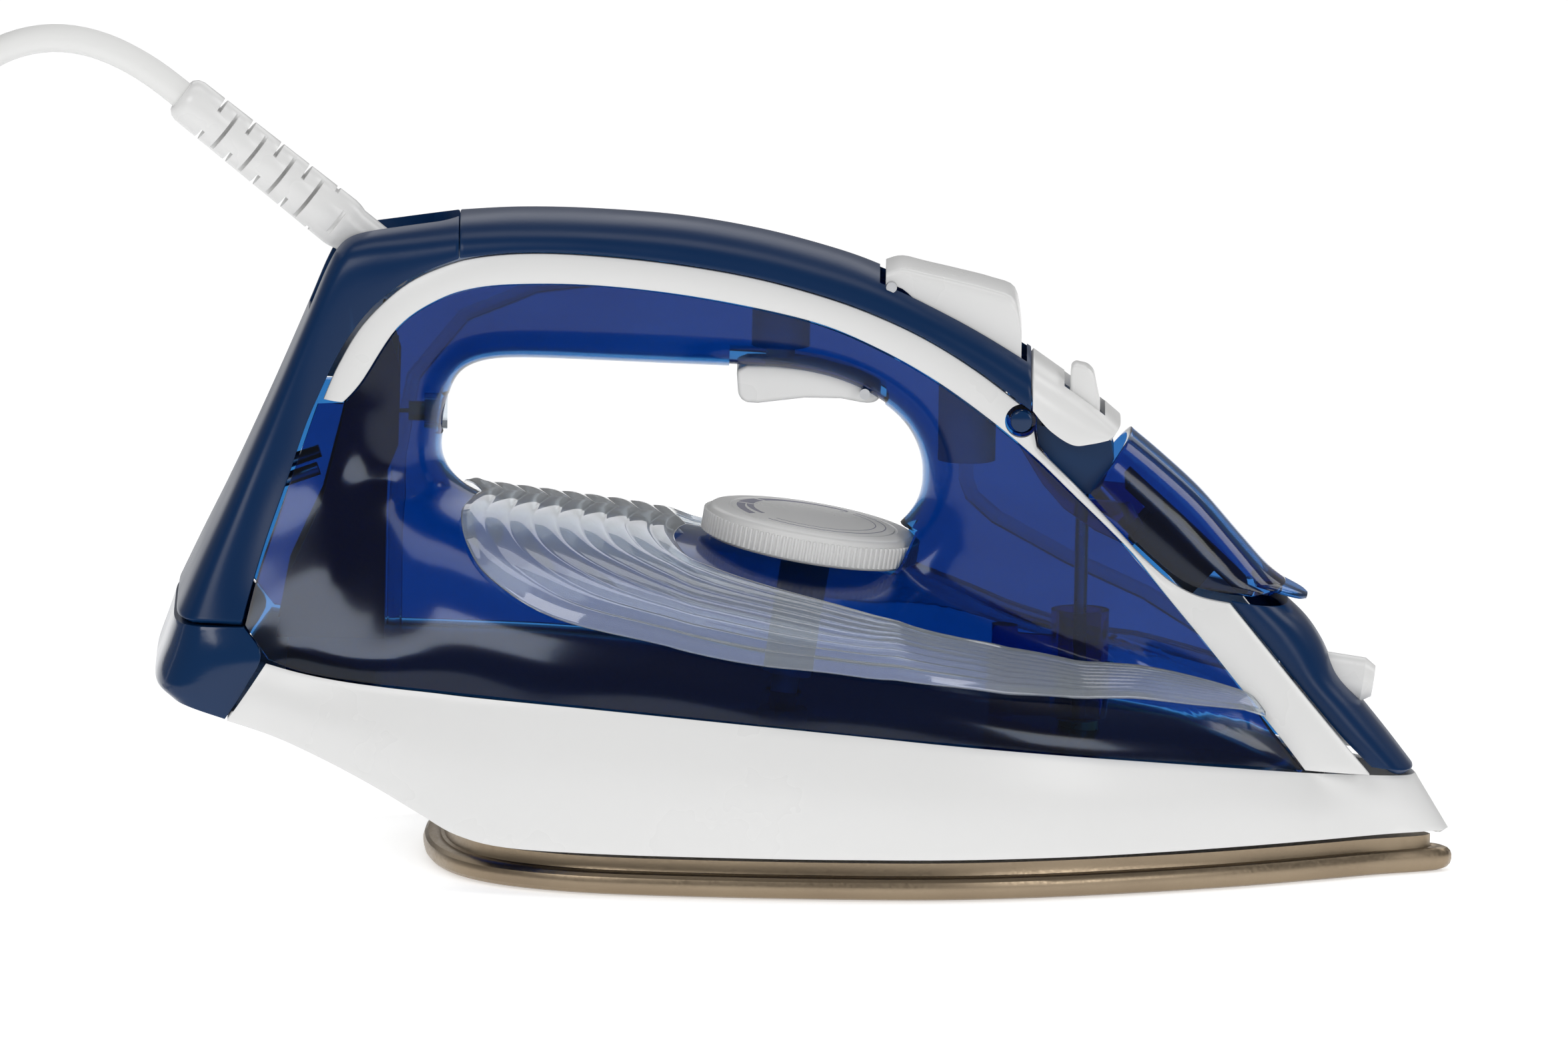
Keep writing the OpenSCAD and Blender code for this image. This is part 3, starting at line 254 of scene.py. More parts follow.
def joined(name, objs):
    for o in objs:
        bpy.context.view_layer.update()
        if o.modifiers:
            bake(o)
    bm = bmesh.new()
    for o in objs:
        bm.from_mesh(o.data)
    mesh = bpy.data.meshes.new(name)
    bm.to_mesh(mesh)
    bm.free()
    for o in objs:
        bpy.data.objects.remove(o)
    obj = bpy.data.objects.new(name, mesh)
    bpy.context.collection.objects.link(obj)
    mesh.polygons.foreach_set("use_smooth", [True] * len(mesh.polygons))
    mesh.set_sharp_from_angle(angle=math.radians(32))
    return obj


# Last step of a piece: modifiers applied, material on, riding on its body
def settle(obj, body, material, replaces=()):
    bpy.context.view_layer.update()
    if obj.modifiers:
        bake(obj)
    obj.data.materials.clear()
    obj.data.materials.append(material)
    if body:
        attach(obj, body)
    if replaces:
        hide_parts(*replaces)
    return obj


# Materials

def nodeMaterial(name):
    mat = bpy.data.materials.new(name)
    mat.use_nodes = True
    mat.node_tree.nodes.clear()
    out = mat.node_tree.nodes.new("ShaderNodeOutputMaterial")
    bsdf = mat.node_tree.nodes.new("ShaderNodeBsdfPrincipled")
    mat.node_tree.links.new(bsdf.outputs[0], out.inputs[0])
    return mat, mat.node_tree, bsdf, out


def setValues(node, **values):
    for key, v in values.items():
        node.inputs[key.replace("_", " ")].default_value = v


def noise(tree, scale, detail=3.0, roughness=0.55, stretch=(1, 1, 1)):
    coord = tree.nodes.new("ShaderNodeTexCoord")
    mapping = tree.nodes.new("ShaderNodeMapping")
    mapping.inputs["Scale"].default_value = stretch
    tex = tree.nodes.new("ShaderNodeTexNoise")
    setValues(tex, Scale=scale, Detail=detail, Roughness=roughness)
    tree.links.new(coord.outputs["Object"], mapping.inputs[0])
    tree.links.new(mapping.outputs[0], tex.inputs["Vector"])
    return tex


def ranged(tree, source, low, high, toLow, toHigh):
    node = tree.nodes.new("ShaderNodeMapRange")
    for i, v in zip((1, 2, 3, 4), (low, high, toLow, toHigh)):
        node.inputs[i].default_value = v
    tree.links.new(source, node.inputs[0])
    return node.outputs[0]


def mixColor(tree, factor, a, b):
    node = tree.nodes.new("ShaderNodeMix")
    node.data_type = "RGBA"
    node.inputs[6].default_value = (*a, 1)
    node.inputs[7].default_value = (*b, 1)
    tree.links.new(factor, node.inputs[0])
    return node.outputs[2]


def addBump(tree, bsdf, height, strength, distance):
    bump = tree.nodes.new("ShaderNodeBump")
    bump.inputs["Strength"].default_value = strength
    bump.inputs["Distance"].default_value = distance
    tree.links.new(height, bump.inputs["Height"])
    tree.links.new(bump.outputs[0], bsdf.inputs["Normal"])
    return bump


def edgeWear(tree, low=0.52, high=0.62):
    geo = tree.nodes.new("ShaderNodeNewGeometry")
    return ranged(tree, geo.outputs["Pointiness"], low, high, 0, 1)


# Moulded plastic: fine grain, faint cloudiness and edges rubbed a little lighter
def plastic(name, color, wearColor, rough=(0.3, 0.42), grain=900, bump=0.06, coat=0.0, spec=0.5):
    mat, tree, bsdf, _ = nodeMaterial(name)
    fine = noise(tree, grain, 2)
    cloud = noise(tree, 26, 4)
    shade = ranged(tree, cloud.outputs["Fac"], 0.3, 0.7, 0.0, 0.07)
    base = mixColor(tree, shade, color, wearColor)
    mix = tree.nodes.new("ShaderNodeMix")
    mix.data_type = "RGBA"
    tree.links.new(edgeWear(tree), mix.inputs[0])
    tree.links.new(base, mix.inputs[6])
    mix.inputs[7].default_value = (*wearColor, 1)
    tree.links.new(mix.outputs[2], bsdf.inputs["Base Color"])
    tree.links.new(ranged(tree, cloud.outputs["Fac"], 0.3, 0.7, *rough), bsdf.inputs["Roughness"])
    bsdf.inputs["Specular IOR Level"].default_value = spec
    bsdf.inputs["Coat Weight"].default_value = coat
    bsdf.inputs["Coat Roughness"].default_value = 0.12
    addBump(tree, bsdf, fine.outputs["Fac"], bump, 0.0002)
    return mat


# Metal with a worked grain, darker in patches
def metal(name, color, dark, rough=(0.25, 0.4), grain=400, bump=0.08):
    mat, tree, bsdf, _ = nodeMaterial(name)
    fine = noise(tree, grain, 3)
    cloud = noise(tree, 35, 4)
    patches = ranged(tree, cloud.outputs["Fac"], 0.3, 0.7, 0, 0.5)
    tree.links.new(mixColor(tree, patches, color, dark), bsdf.inputs["Base Color"])
    bsdf.inputs["Metallic"].default_value = 1
    tree.links.new(ranged(tree, fine.outputs["Fac"], 0.3, 0.7, *rough), bsdf.inputs["Roughness"])
    addBump(tree, bsdf, fine.outputs["Fac"], bump, 0.0002)
    return mat


# Tinted see-through plastic with faint flow marks
def clearPlastic(name, color, deep, rough=0.05, weight=1.0, ior=1.2, coat=(1.0, 0.03)):
    mat, tree, bsdf, _ = nodeMaterial(name)
    cloud = noise(tree, 18, 3, stretch=(1, 1, 2))
    patches = ranged(tree, cloud.outputs["Fac"], 0.3, 0.7, 0, 1)
    tree.links.new(mixColor(tree, patches, color, deep), bsdf.inputs["Base Color"])
    setValues(bsdf, Roughness=rough, IOR=ior, Transmission_Weight=weight)
    bsdf.inputs["Coat Weight"].default_value = coat[0]
    bsdf.inputs["Coat Roughness"].default_value = coat[1]
    bsdf.inputs["Coat IOR"].default_value = 1.5
    addBump(tree, bsdf, noise(tree, 90, 2).outputs["Fac"], 0.01, 0.0001)
    return mat


white = plastic("whitePlastic", (0.78, 0.78, 0.775), (0.80, 0.80, 0.795), rough=(0.26, 0.30), spec=0.45)
navy = plastic("navyPlastic", (0.002, 0.022, 0.08), (0.006, 0.034, 0.105), rough=(0.26, 0.34), coat=0.0, spec=0.22)
navyGloss = plastic("navyGloss", (0.002, 0.024, 0.085), (0.006, 0.034, 0.105), rough=(0.12, 0.2), coat=0.1, spec=0.3)
tankBlue = clearPlastic("tankBlue", (0.03, 0.17, 0.44), (0.02, 0.13, 0.37), ior=1.1, coat=(0.55, 0.14))
doorBlue = clearPlastic("doorBlue", (0.035, 0.16, 0.44), (0.025, 0.12, 0.37), ior=1.12, coat=(0.6, 0.1))
windowClear = clearPlastic("windowClear", (0.86, 0.92, 0.97), (0.80, 0.88, 0.95), weight=0.85, ior=1.15,
                           coat=(1.0, 0.05))
bronze = metal("soleBronze", (0.33, 0.26, 0.18), (0.25, 0.19, 0.13), rough=(0.28, 0.42), grain=1400)
castMetal = metal("castMetal", (0.62, 0.63, 0.64), (0.42, 0.43, 0.44), rough=(0.4, 0.6), grain=500, bump=0.2)
steel = metal("steel", (0.55, 0.56, 0.58), (0.4, 0.41, 0.43))
darkSteel = metal("heaterSteel", (0.25, 0.24, 0.23), (0.14, 0.13, 0.13), rough=(0.4, 0.6))
brass = metal("brass", (0.65, 0.5, 0.26), (0.45, 0.34, 0.17))
blackPlastic = plastic("blackPlastic", (0.012, 0.013, 0.016), (0.04, 0.04, 0.045), rough=(0.4, 0.55))
greyPlastic = plastic("greyPlastic", (0.6, 0.61, 0.62), (0.7, 0.7, 0.71), rough=(0.35, 0.5))
cordWhite = plastic("cordRubber", (0.80, 0.80, 0.79), (0.84, 0.84, 0.83), rough=(0.45, 0.6), grain=1500, bump=0.1)
ceramic = plastic("ceramic", (0.75, 0.72, 0.64), (0.82, 0.8, 0.74), rough=(0.5, 0.7))
seal = plastic("sealRubber", (0.35, 0.06, 0.04), (0.45, 0.12, 0.09), rough=(0.5, 0.7))
lampGlass = clearPlastic("lampGlass", (0.9, 0.35, 0.1), (0.8, 0.25, 0.08), ior=1.45)
wire = plastic("wireInsulation", (0.2, 0.11, 0.05), (0.3, 0.18, 0.1), rough=(0.5, 0.7))
ink = plastic("greyInk", (0.14, 0.14, 0.22), (0.2, 0.2, 0.28), rough=(0.4, 0.5))

print("stage: materials")

# Camera and light
view = {"aim": (-0.0055, 0, 0.0757), "elevation": 9.5, "roll": 1.1, "distance": 9.0, "width": 0.351}


def addCamera():
    tilt = math.radians(view["elevation"])
    aim = Vector(view["aim"])
    data = bpy.data.cameras.new("camera")
    data.sensor_width = 36
    data.lens = 36 * view["distance"] / view["width"]
    data.clip_end = 50
    cam = bpy.data.objects.new("camera", data)
    cam.matrix_world = (Matrix.Translation(aim + view["distance"] * Vector((0, -math.cos(tilt), math.sin(tilt))))
                        @ Matrix.Rotation(math.radians(90) - tilt, 4, "X")
                        @ Matrix.Rotation(math.radians(view["roll"]), 4, "Z"))
    bpy.context.collection.objects.link(cam)
    bpy.context.scene.camera = cam


def addArea(name, place, target, size, power):
    data = bpy.data.lights.new(name, "AREA")
    data.shape = "RECTANGLE"
    data.size, data.size_y = size
    data.energy = power
    obj = bpy.data.objects.new(name, data)
    obj.location = place
    obj.rotation_euler = (Vector(target) - Vector(place)).to_track_quat("-Z", "Y").to_euler()
    bpy.context.collection.objects.link(obj)


def addStage():
    mat, tree, bsdf, _ = nodeMaterial("floorWhite")
    spots = noise(tree, 3, 3)
    patches = ranged(tree, spots.outputs["Fac"], 0.3, 0.7, 0, 1)
    tree.links.new(mixColor(tree, patches, (0.93, 0.93, 0.93), (0.95, 0.95, 0.95)), bsdf.inputs["Base Color"])
    bsdf.inputs["Roughness"].default_value = 0.9
    bsdf.inputs["Specular IOR Level"].default_value = 0.1
    bsdf.inputs["Emission Color"].default_value = (1, 1, 1, 1)
    bsdf.inputs["Emission Strength"].default_value = 0.5
    floor = meshObject("floor", [(-8, -8, 0), (8, -8, 0), (8, 8, 0), (-8, 8, 0)], [(0, 1, 2, 3)], scale=1)
    floor.data.transform(Matrix.Translation((0, 0, -0.0002)))
    floor.data.materials.append(mat)
    world = bpy.data.worlds.new("studio")
    world.use_nodes = True
    world.node_tree.nodes["Background"].inputs[0].default_value = (1, 1, 1, 1)
    world.node_tree.nodes["Background"].inputs[1].default_value = 0.2
    bpy.context.scene.world = world


addCamera()
addStage()
addArea("key", (-0.7, -1.3, 1.1), (0, 0, 0.06), (0.8, 0.7), 9)
addArea("noseSide", (1.1, 0.35, 0.95), (0.08, 0, 0.08), (0.5, 0.5), 3)
addArea("front", (1.3, -1.5, 0.7), (0, 0, 0.06), (0.6, 0.8), 6.5)
addArea("rear", (0.2, 1.4, 1.0), (0, 0, 0.08), (1.8, 0.7), 5)
addArea("top", (0, 0.1, 1.5), (0, 0, 0), (1.4, 0.5), 5)
bpy.context.scene.view_settings.view_transform = "Standard"

# Mains cord: boot to coil, coil, coil to plug
cord = {"d": 6.5, "coil": (-254.5, 40), "meanR": 38.5, "cols": 3, "turns": 6, "bootPivot": (-93, 0, 132),
        "bootAngle": 37.9, "reach": 62}
cordFall = [[-150, 0, 176], [-159, 0, 180.5], [-169, 0, 182.5], [-179, 0, 181], [-188, 0, 176], [-195, 0, 168],
            [-200, 0, 157], [-203, 0, 144], [-205, 0, 128], [-206, 0, 110], [-206, 0, 92], [-206, 0, 74],
            [-206.5, 2, 57], [-207, 7, 41], [-208, 15, 27], [-209, 25, 16.5], [-209.5, 33, 11.4]]
cordTail = [[-299.5, 31, 4.2], [-299.5, 22, 8], [-299.5, 13, 13.6], [-299.5, 4, 17.4], [-299.5, 0, 18.3],
            [-299.5, -3.7, 18.6]]


def bootPoint(d):
    a = math.radians(cord["bootAngle"])
    return [cord["bootPivot"][0] - d * math.cos(a), 0, cord["bootPivot"][2] + d * math.sin(a)]


# Turns from the outside of the upper layer inwards, down, and out again on the lower layer
def coilPath():
    d, (cx, cy) = cord["d"], cord["coil"]
    outer = cord["meanR"] + (cord["cols"] - 1) / 2 * d
    top, low = d * 1.5, d * 0.5
    points = []
    half = cord["turns"] / 2
    total = 2 * half + 0.5
    n = int(total * 28)
    for k in range(n + 1):
        turn = total * k / n
        if turn <= half:
            r = outer - d * min(turn, cord["cols"] - 1)
        else:
            r = outer - d * max(0, min(cord["cols"] - 1, total - turn))
        z = top - (top - low) * float(spread(turn, half - 0.45, half + 0.05))
        a = 2 * math.pi * turn
        points.append([cx + r * math.cos(a), cy + r * math.sin(a), z])
    return points


def resample(path, step):
    p = np.array(path, float)
    s = np.concatenate([[0], np.cumsum(np.linalg.norm(np.diff(p, axis=0), axis=1))])
    n = max(2, int(s[-1] / step))
    t = np.linspace(0, s[-1], n)
    return np.stack([np.interp(t, s, p[:, k]) for k in range(3)], 1), s[-1]


def buildCord():
    fall = smoothRows([bootPoint(cord["reach"] - 6), bootPoint(cord["reach"] + 5)] + cordFall, 5)
    route = np.concatenate([fall, coilPath(), smoothRows(cordTail, 4)])
    path, length = resample(route, 2.4)
    for _ in range(3):
        path[1:-1] = (path[:-2] + 2 * path[1:-1] + path[2:]) / 4
    print("cord length mm", round(length))
    obj = sweep("mainsCord", path, cord["d"] / 2 - 0.05, 16)
    return obj, path, length


cordObj, cordPath, cordLength = buildCord()
settle(cordObj, None, cordWhite, ("power_cord", "cord_coil"))
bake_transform(cordObj)

print("stage: cord")

# Shape of the tank and covers, in mm
skirtLineW = smoothRows([[-126, 37], [-121, 38.2], [-98, 44.5], [-58, 53.5], [-6, 56.5], [18, 55], [40, 52], [62, 46],
                         [84, 36.5], [100, 28], [111.6, 19.6], [127.3, 12], [137, 1]], 8)
skirtLineZ = smoothRows([[-126, 50.5], [-121, 49.3], [-112, 46.6], [-98, 45.3], [-58, 43.2], [-6, 39.2], [40, 34.8],
                         [84, 29.5], [111.6, 25.2], [127.3, 23.7], [137, 22.4]], 8)
crownZ = np.array([[-130, 150], [-108, 135], [-102, 108], [-97, 95], [-90, 86], [-82, 83], [-73, 80.2], [-40, 76.2],
                   [-31, 74.6], [-26, 73.2], [0, 69.6], [20, 66.7], [30, 61.5], [45, 54.5], [60, 50], [80, 46.6],
                   [98, 42.8], [112, 36]], float)
ring = [[-82, 96, -110, 103.8, 18.2], [-81.6, 100.5, -104, 104, 17.6], [-80.6, 104.8, -100, 108.6, 17.2],
        [-78.4, 109, -92.2, 121, 17], [-74.5, 111.2, -83.4, 127.3, 16.8], [-69, 112.2, -74.5, 130.2, 16.6],
        [-60, 112.3, -63, 131.2, 16.5], [-47, 112, -47.6, 131.1, 16.5], [-32, 111.6, -29.7, 129.4, 16.5],
        [-17, 111.3, -11.7, 126.4, 16.5], [-4, 110.7, 3, 122.8, 16.6], [6.5, 108.5, 15.3, 117.7, 16.8],
        [14, 105, 26, 112, 17], [19.5, 101, 36, 105.3, 17], [23, 96.3, 47, 96.8, 17.2], [24.8, 91.5, 58, 86.8, 17.3],
        [25.2, 87.6, 70, 75.3, 17.5], [25, 84.6, 82, 61.5, 17.8], [24.3, 82, 95, 45.8, 18.4],
        [23, 79.5, 111.6, 25.2, 19.6], [21, 77, 100, 27.4, 28], [17, 73.4, 84, 29.5, 36.5], [11, 69.6, 62, 32.2, 46],
        [2, 69.3, 40, 34.8, 52], [-10, 71, 18, 36.9, 55], [-23, 72.8, -6, 39.2, 56.5], [-36, 75.7, -32, 41.2, 55],
        [-52, 77.7, -58, 43.2, 53.5], [-66, 79.4, -80, 44.3, 48.5], [-73.5, 81.2, -98, 45.3, 44.5],
        [-77.6, 83.6, -112, 46.6, 40], [-80.2, 86.2, -120, 49, 38.4], [-81.6, 88.8, -125.2, 56.3, 36],
        [-82.2, 91, -122.3, 68, 30], [-82.3, 93.2, -117.5, 82, 23.5]]
trim = [[-109.3, 104.6, -104.2, 104.4, 17.8], [-106, 112.5, -99.6, 109.6, 17.4], [-100.6, 121.6, -92.2, 121, 17],
        [-92, 130.2, -83.4, 127.3, 16.8], [-83, 135, -74.5, 130.2, 16.6], [-73, 137.6, -63, 131.2, 16.5],
        [-58, 138.4, -47.6, 131.1, 16.5], [-36, 137.1, -29.7, 129.4, 16.5], [-15, 134.2, -11.7, 126.4, 16.5],
        [3, 129.8, 3, 122.8, 16.6], [16, 125.2, 15.3, 117.7, 16.8], [27, 120, 26, 112, 17],
        [38, 113.2, 36, 105.3, 17], [49.2, 104.8, 47, 96.8, 17.2], [50.8, 97, 49.6, 94.6, 17.2],
        [61, 87, 58, 86.8, 17.3], [72, 75.6, 70, 75.3, 17.5], [80, 68, 82, 61.5, 17.8], [87, 64.2, 88, 54.3, 18.1],
        [94.5, 62.6, 95, 45.8, 18.4], [106, 49, 102, 37.4, 19], [127, 24.2, 111.6, 25.2, 19.6]]
rearBack = [[-141, 57.2, -126, 57, 36, 6], [-136, 68.5, -124, 64, 31.5, 6], [-130.4, 80.7, -120.8, 74.5, 26.4, 6],
            [-124.7, 93.8, -116.8, 86, 22, 6], [-119, 107.3, -113.1, 97.5, 19.4, 6],
            [-113, 122, -110.2, 104.8, 17.9, 6], [-108.6, 133, -106.6, 113, 17.4, 5.5],
            [-105.4, 138.4, -102.6, 120, 17.1, 5], [-101, 140.8, -97.4, 126.4, 17, 4],
            [-92, 142.6, -89.2, 132.6, 16.7, 3], [-79.35, 144.7, -79.15, 136.8, 16.5, 2.4]]
gripTop = [[-79.2, 144.7, -79, 136.9, 16.5, 2.4], [-66, 145.7, -66, 138.5, 16.5, 2.2],
           [-50, 145.7, -50, 138.5, 16.5, 2.2], [-30, 144.6, -30, 136.6, 16.5, 2.2],
           [-12, 141.9, -12, 133.6, 16.5, 2.2], [4, 138, 4, 129.5, 16.6, 2.2], [15, 134.2, 16, 125.2, 16.8, 2.3],
           [27, 128.4, 27, 120, 17, 2.5], [38, 122.6, 38, 113.2, 17, 2.7], [49.2, 116, 49.2, 104.9, 17.2, 2.8]]
noseTop = [[107.5, 60.6, 94.8, 62.5, 15.6, 2.6], [112, 56.4, 99, 57.4, 15.4, 2.6], [115.4, 51.6, 104, 51.3, 15, 2.6],
           [119, 44.6, 109, 45.2, 14.6, 2.6], [124.4, 38.4, 115, 38, 14.2, 2.6], [130.4, 31.2, 121, 31, 13.6, 2.6],
           [136.4, 23.6, 127, 24.9, 12.4, 2.6]]
consoleTop = [[49.6, 115.7, 49.6, 105, 17.2, 2.8], [55, 112, 53.5, 100.6, 17, 2.9], [61, 107.8, 58.6, 97.4, 16.8, 3],
              [65.6, 104.2, 62.8, 97.6, 16.4, 3], [69.4, 100.8, 66.6, 98.4, 15.8, 3]]
doorTop = [[72, 98.6, 62.8, 86.2, 15.6, 2.6], [79, 92.9, 69.5, 79.3, 15.6, 2.6], [88, 84.8, 77.5, 71.8, 15.5, 2.6],
           [96.8, 75, 85, 66.3, 15.2, 2.6], [103, 68.2, 92.4, 64.2, 14.6, 2.5], [107, 65, 99.4, 63.2, 13, 2.4]]


# Half width of the tank's body at a point of its side view
def bodyHalf(x, z):
    w0, z0, z1 = lookup(x, skirtLineW), lookup(x, skirtLineZ), lookup(x, crownZ)
    rise, rear = clamp((z - 50) / 53), clamp((-80 - x) / 20)
    w = w0 + (17.5 - w0) * rise * rear
    t = clamp((z - z0) / (z1 - z0))
    return w * (1 - t ** 2.2) ** 0.4545


def columnHalf(d, w):
    return w * np.sqrt(1 - (1 - clamp(d / 14)) ** 2)


def tankRow(r, m):
    d, p = np.array(r[:2]), np.array(r[2:4])
    full, edge = np.linalg.norm(p - d), min(r[4], 17.5)
    endW = smoothMax(columnHalf(full, edge), bodyHalf(p[0], p[1]), 3)
    v = np.linspace(-1, 1, 2 * m + 1)
    s = v ** 2 * (1.6 - 0.6 * np.abs(v))
    q = d + np.outer(s, p - d)
    w = (smoothMax(columnHalf(s * full, edge), bodyHalf(q[:, 0], q[:, 1]), 3 * clamp(s * full / 3) + 1e-6)
         + (r[4] - endW) * s * s)
    w[m] = 0
    return np.stack([q[:, 0], -np.sign(v) * w, q[:, 1]], 1)


# Stations round the handle opening: a smooth opening edge, and an outer edge smooth between its corners
def ringRows(n):
    c = len(ring)
    closed = np.array(ring + ring[:1])
    edge = smoothRows([ring[-2], ring[-1]] + ring + ring[:2], n)[2 * n:(2 + c) * n + 1]
    outer = [smoothRows(closed[a:b + 1, 2:], n)[:-1] for a, b in ((0, 1), (1, 19), (19, 31), (31, 32), (32, 35))]
    outer = np.concatenate(outer)
    return [[*edge[i][:2], *outer[i]] for i in range(c * n)]


def coverRow(r, m):
    a = np.linspace(-90, 90, 2 * m + 1) * math.pi / 180
    s = np.abs(np.cos(a)) ** (2 / r[5])
    s[0] = s[-1] = 0
    y = np.sign(a) * np.abs(np.sin(a)) ** (2 / r[5])
    lo, hi = np.array([r[2], r[3]]), np.array([r[0], r[1]])
    p = lo + np.outer(s, hi - lo)
    return np.stack([p[:, 0], y * r[4], p[:, 1]], 1)


def coverGrid(rows, n=8, m=22):
    return np.array([coverRow(r, m) for r in smoothRows(rows, n)])


def boxCutter(low, high):
    (a, b, c), (d, e, f) = low, high
    return extruded("cutter", [(a, b), (d, b), (d, e), (a, e)], c, f, "z", bevel=0)


dial = {"at": (0, 0, 70.4), "lean": 8.5, "d": 48.8, "h": 6.6, "gap": 0.5, "ribs": 110}
dialPlace = Matrix.Translation(Vector(dial["at"]) * mm) @ Matrix.Rotation(math.radians(dial["lean"]), 4, "Y")


def dialCylinder(radius, low, high, steps=96):
    return revolve("cutter", [(0, low), (radius, low), (radius, high), (0, high)], steps, dialPlace)


# Evens a ring of rows out along the ring, less and less towards both borders and the opening's edge
def relaxed(grid, passes):
    m = grid.shape[1] // 2
    v = np.abs(np.arange(-m, m + 1)) / m
    weight = (clamp((1 - v) * 4) * clamp(v * 6))[None, :, None]
    for _ in range(passes):
        grid = grid + weight * 0.5 * ((np.roll(grid, 1, 0) + np.roll(grid, -1, 0)) / 2 - grid)
    return grid


def buildTank():
    grid = relaxed(np.array([tankRow(r, 26) for r in ringRows(6)]), 14)
    obj = shell("waterTank", grid, 1.4, loopU=True, bevel=0)
    bake(obj)
    cut(obj, dialCylinder(25.2, -dial["gap"], dial["h"] + 2.5), dialCylinder(6.3, -12, 8),
        boxCutter((-18.4, -7.6, 103), (16.6, 7.6, 115)), boxCutter((-90.4, -4.4, 95.2), (-74.4, 4.4, 104)))
    return obj


settle(buildTank(), "housing", tankBlue, ("water_tank",))
print("stage: tank")

for name, rows, node in (("rearCover", rearBack, "rear_cover"), ("gripCover", gripTop, "handle_cover"),
                         ("noseCover", noseTop, "nose_cover")):
    obj = shell(name, coverGrid(rows), 2.2)
    if name == "gripCover":
        bake(obj)
        cut(obj, boxCutter((14.9, -11.5, 108), (48.1, 11.5, 150)))
    if name == "rearCover":
        bake(obj)
        cut(obj, boxCutter((-122, -6.7, 123), (-85, 6.7, 190)),
            revolve("cutter", [(0, 120), (6.7, 120), (6.7, 160), (0, 160)], 48, Matrix.Translation((-0.0846, 0, 0))))
    if name == "noseCover":
        bake(obj)
    settle(obj, "housing", navy, (node,))

consoleObj = shell("console", coverGrid(consoleTop), 2.2)
bake(consoleObj)
cut(consoleObj, boxCutter((56.6, -10.6, 96), (65.8, 10.6, 120)))
settle(consoleObj, "housing", white, ("control_console",))
print("stage: covers")

# Heel rest
heelRows = [[-143, 39.4, -129.4, 35.2, 37.6, 4.5], [-145.2, 41.2, -127, 39, 38.2, 5],
            [-145.3, 44, -124.6, 43.2, 38.4, 5], [-143.4, 49.8, -121.6, 49.8, 38, 5],
            [-141.5, 55.7, -125.5, 55.7, 36, 5]]
heelInside = [[-141, 42, -116, 41, 35.4, 4], [-142.4, 45, -118, 47, 35.6, 4], [-138.8, 60, -124, 60, 33.4, 4]]


def buildHeel():
    obj = loft("heelRest", [coverRow(r, 24) for r in smoothRows(heelRows, 5)], bevel=0.8, segments=3, angle=50)
    bake(obj)
    inside = loft("cutter", [coverRow(r, 16) for r in heelInside], bevel=0)
    return cut(obj, inside)


settle(buildHeel(), "housing", navyGloss, ("heel_rest",))

# Soleplate: a rounded flange with a groove above it
soleOutline = smoothRows([[-85, 0], [-84.2, 14], [-81.5, 27], [-76, 39], [-66, 48.5], [-50, 55], [-28, 57.5], [0, 58],
                          [28, 56.3], [52, 50.5], [76, 41], [98, 30.3], [116, 19.5], [130, 10.5], [139, 5.8],
                          [144, 2.8], [145.5, 0]], 6)
soleRim = [(4.0, 0), (2.2, 0.15), (1.0, 0.6), (0.3, 1.4), (0, 2.4), (0, 3.4), (0.3, 4.3), (1.0, 5.0), (1.9, 5.3),
           (3.0, 5.3), (3.8, 5.0), (4.6, 5.2), (4.9, 6.0), (4.9, 8)]
steamHoles = {"r": 1.3, "rows": (12, 19), "stations": (-52, -34, -16, 2, 20, 38, 56, 74, 92), "nose": (98, 105),
              "deep": 4}


def soleLoop(inset, z):
    x, y = soleOutline[:, 0], soleOutline[:, 1]
    dx = x - 30
    half = np.stack([30 + dx * (1 - inset / np.where(dx > 0, 115.5, 115)), y * (1 - inset / 58), np.full(len(x), z)], 1)
    other = half[-2:0:-1] * [1, -1, 1]
    return np.concatenate([half, other])


def holePlaces():
    for x in steamHoles["stations"]:
        for d in steamHoles["rows"]:
            y = np.interp(x, soleOutline[:, 0], soleOutline[:, 1]) - d
            yield x, y
            yield x, -y
    for x in steamHoles["nose"]:
        yield x, 0


def buildSole():
    rings = np.array([soleLoop(*r) for r in soleRim])
    nu, nv = rings.shape[:2]
    faces = gridFaces(nu, nv, False, True) + [tuple(range((nu - 1) * nv, nu * nv))]
    obj = meshObject("solePlate", rings.reshape(-1, 3), faces)
    bm = bmesh.new()
    bm.from_mesh(obj.data)
    edges = [e for e in bm.edges if e.is_boundary]
    hole = steamHoles["r"]
    for x, y in holePlaces():
        low = [bm.verts.new(((x + hole * math.cos(a)) * mm, (y + hole * math.sin(a)) * mm, 0))
               for a in np.linspace(0, 2 * math.pi, 17)[:-1]]
        high = [bm.verts.new((v.co.x, v.co.y, steamHoles["deep"] * mm)) for v in low]
        for k in range(16):
            bm.faces.new((low[k], low[(k + 1) % 16], high[(k + 1) % 16], high[k]))
            edges.append(bm.edges.get((low[k], low[(k + 1) % 16])))
        bm.faces.new(high)
    bmesh.ops.triangle_fill(bm, use_beauty=True, use_dissolve=False, edges=edges)
    bmesh.ops.recalc_face_normals(bm, faces=bm.faces)
    bm.to_mesh(obj.data)
    bm.free()
    bake(obj, 25)
    return obj


settle(buildSole(), "housing", bronze, ("soleplate",))
print("stage: sole")

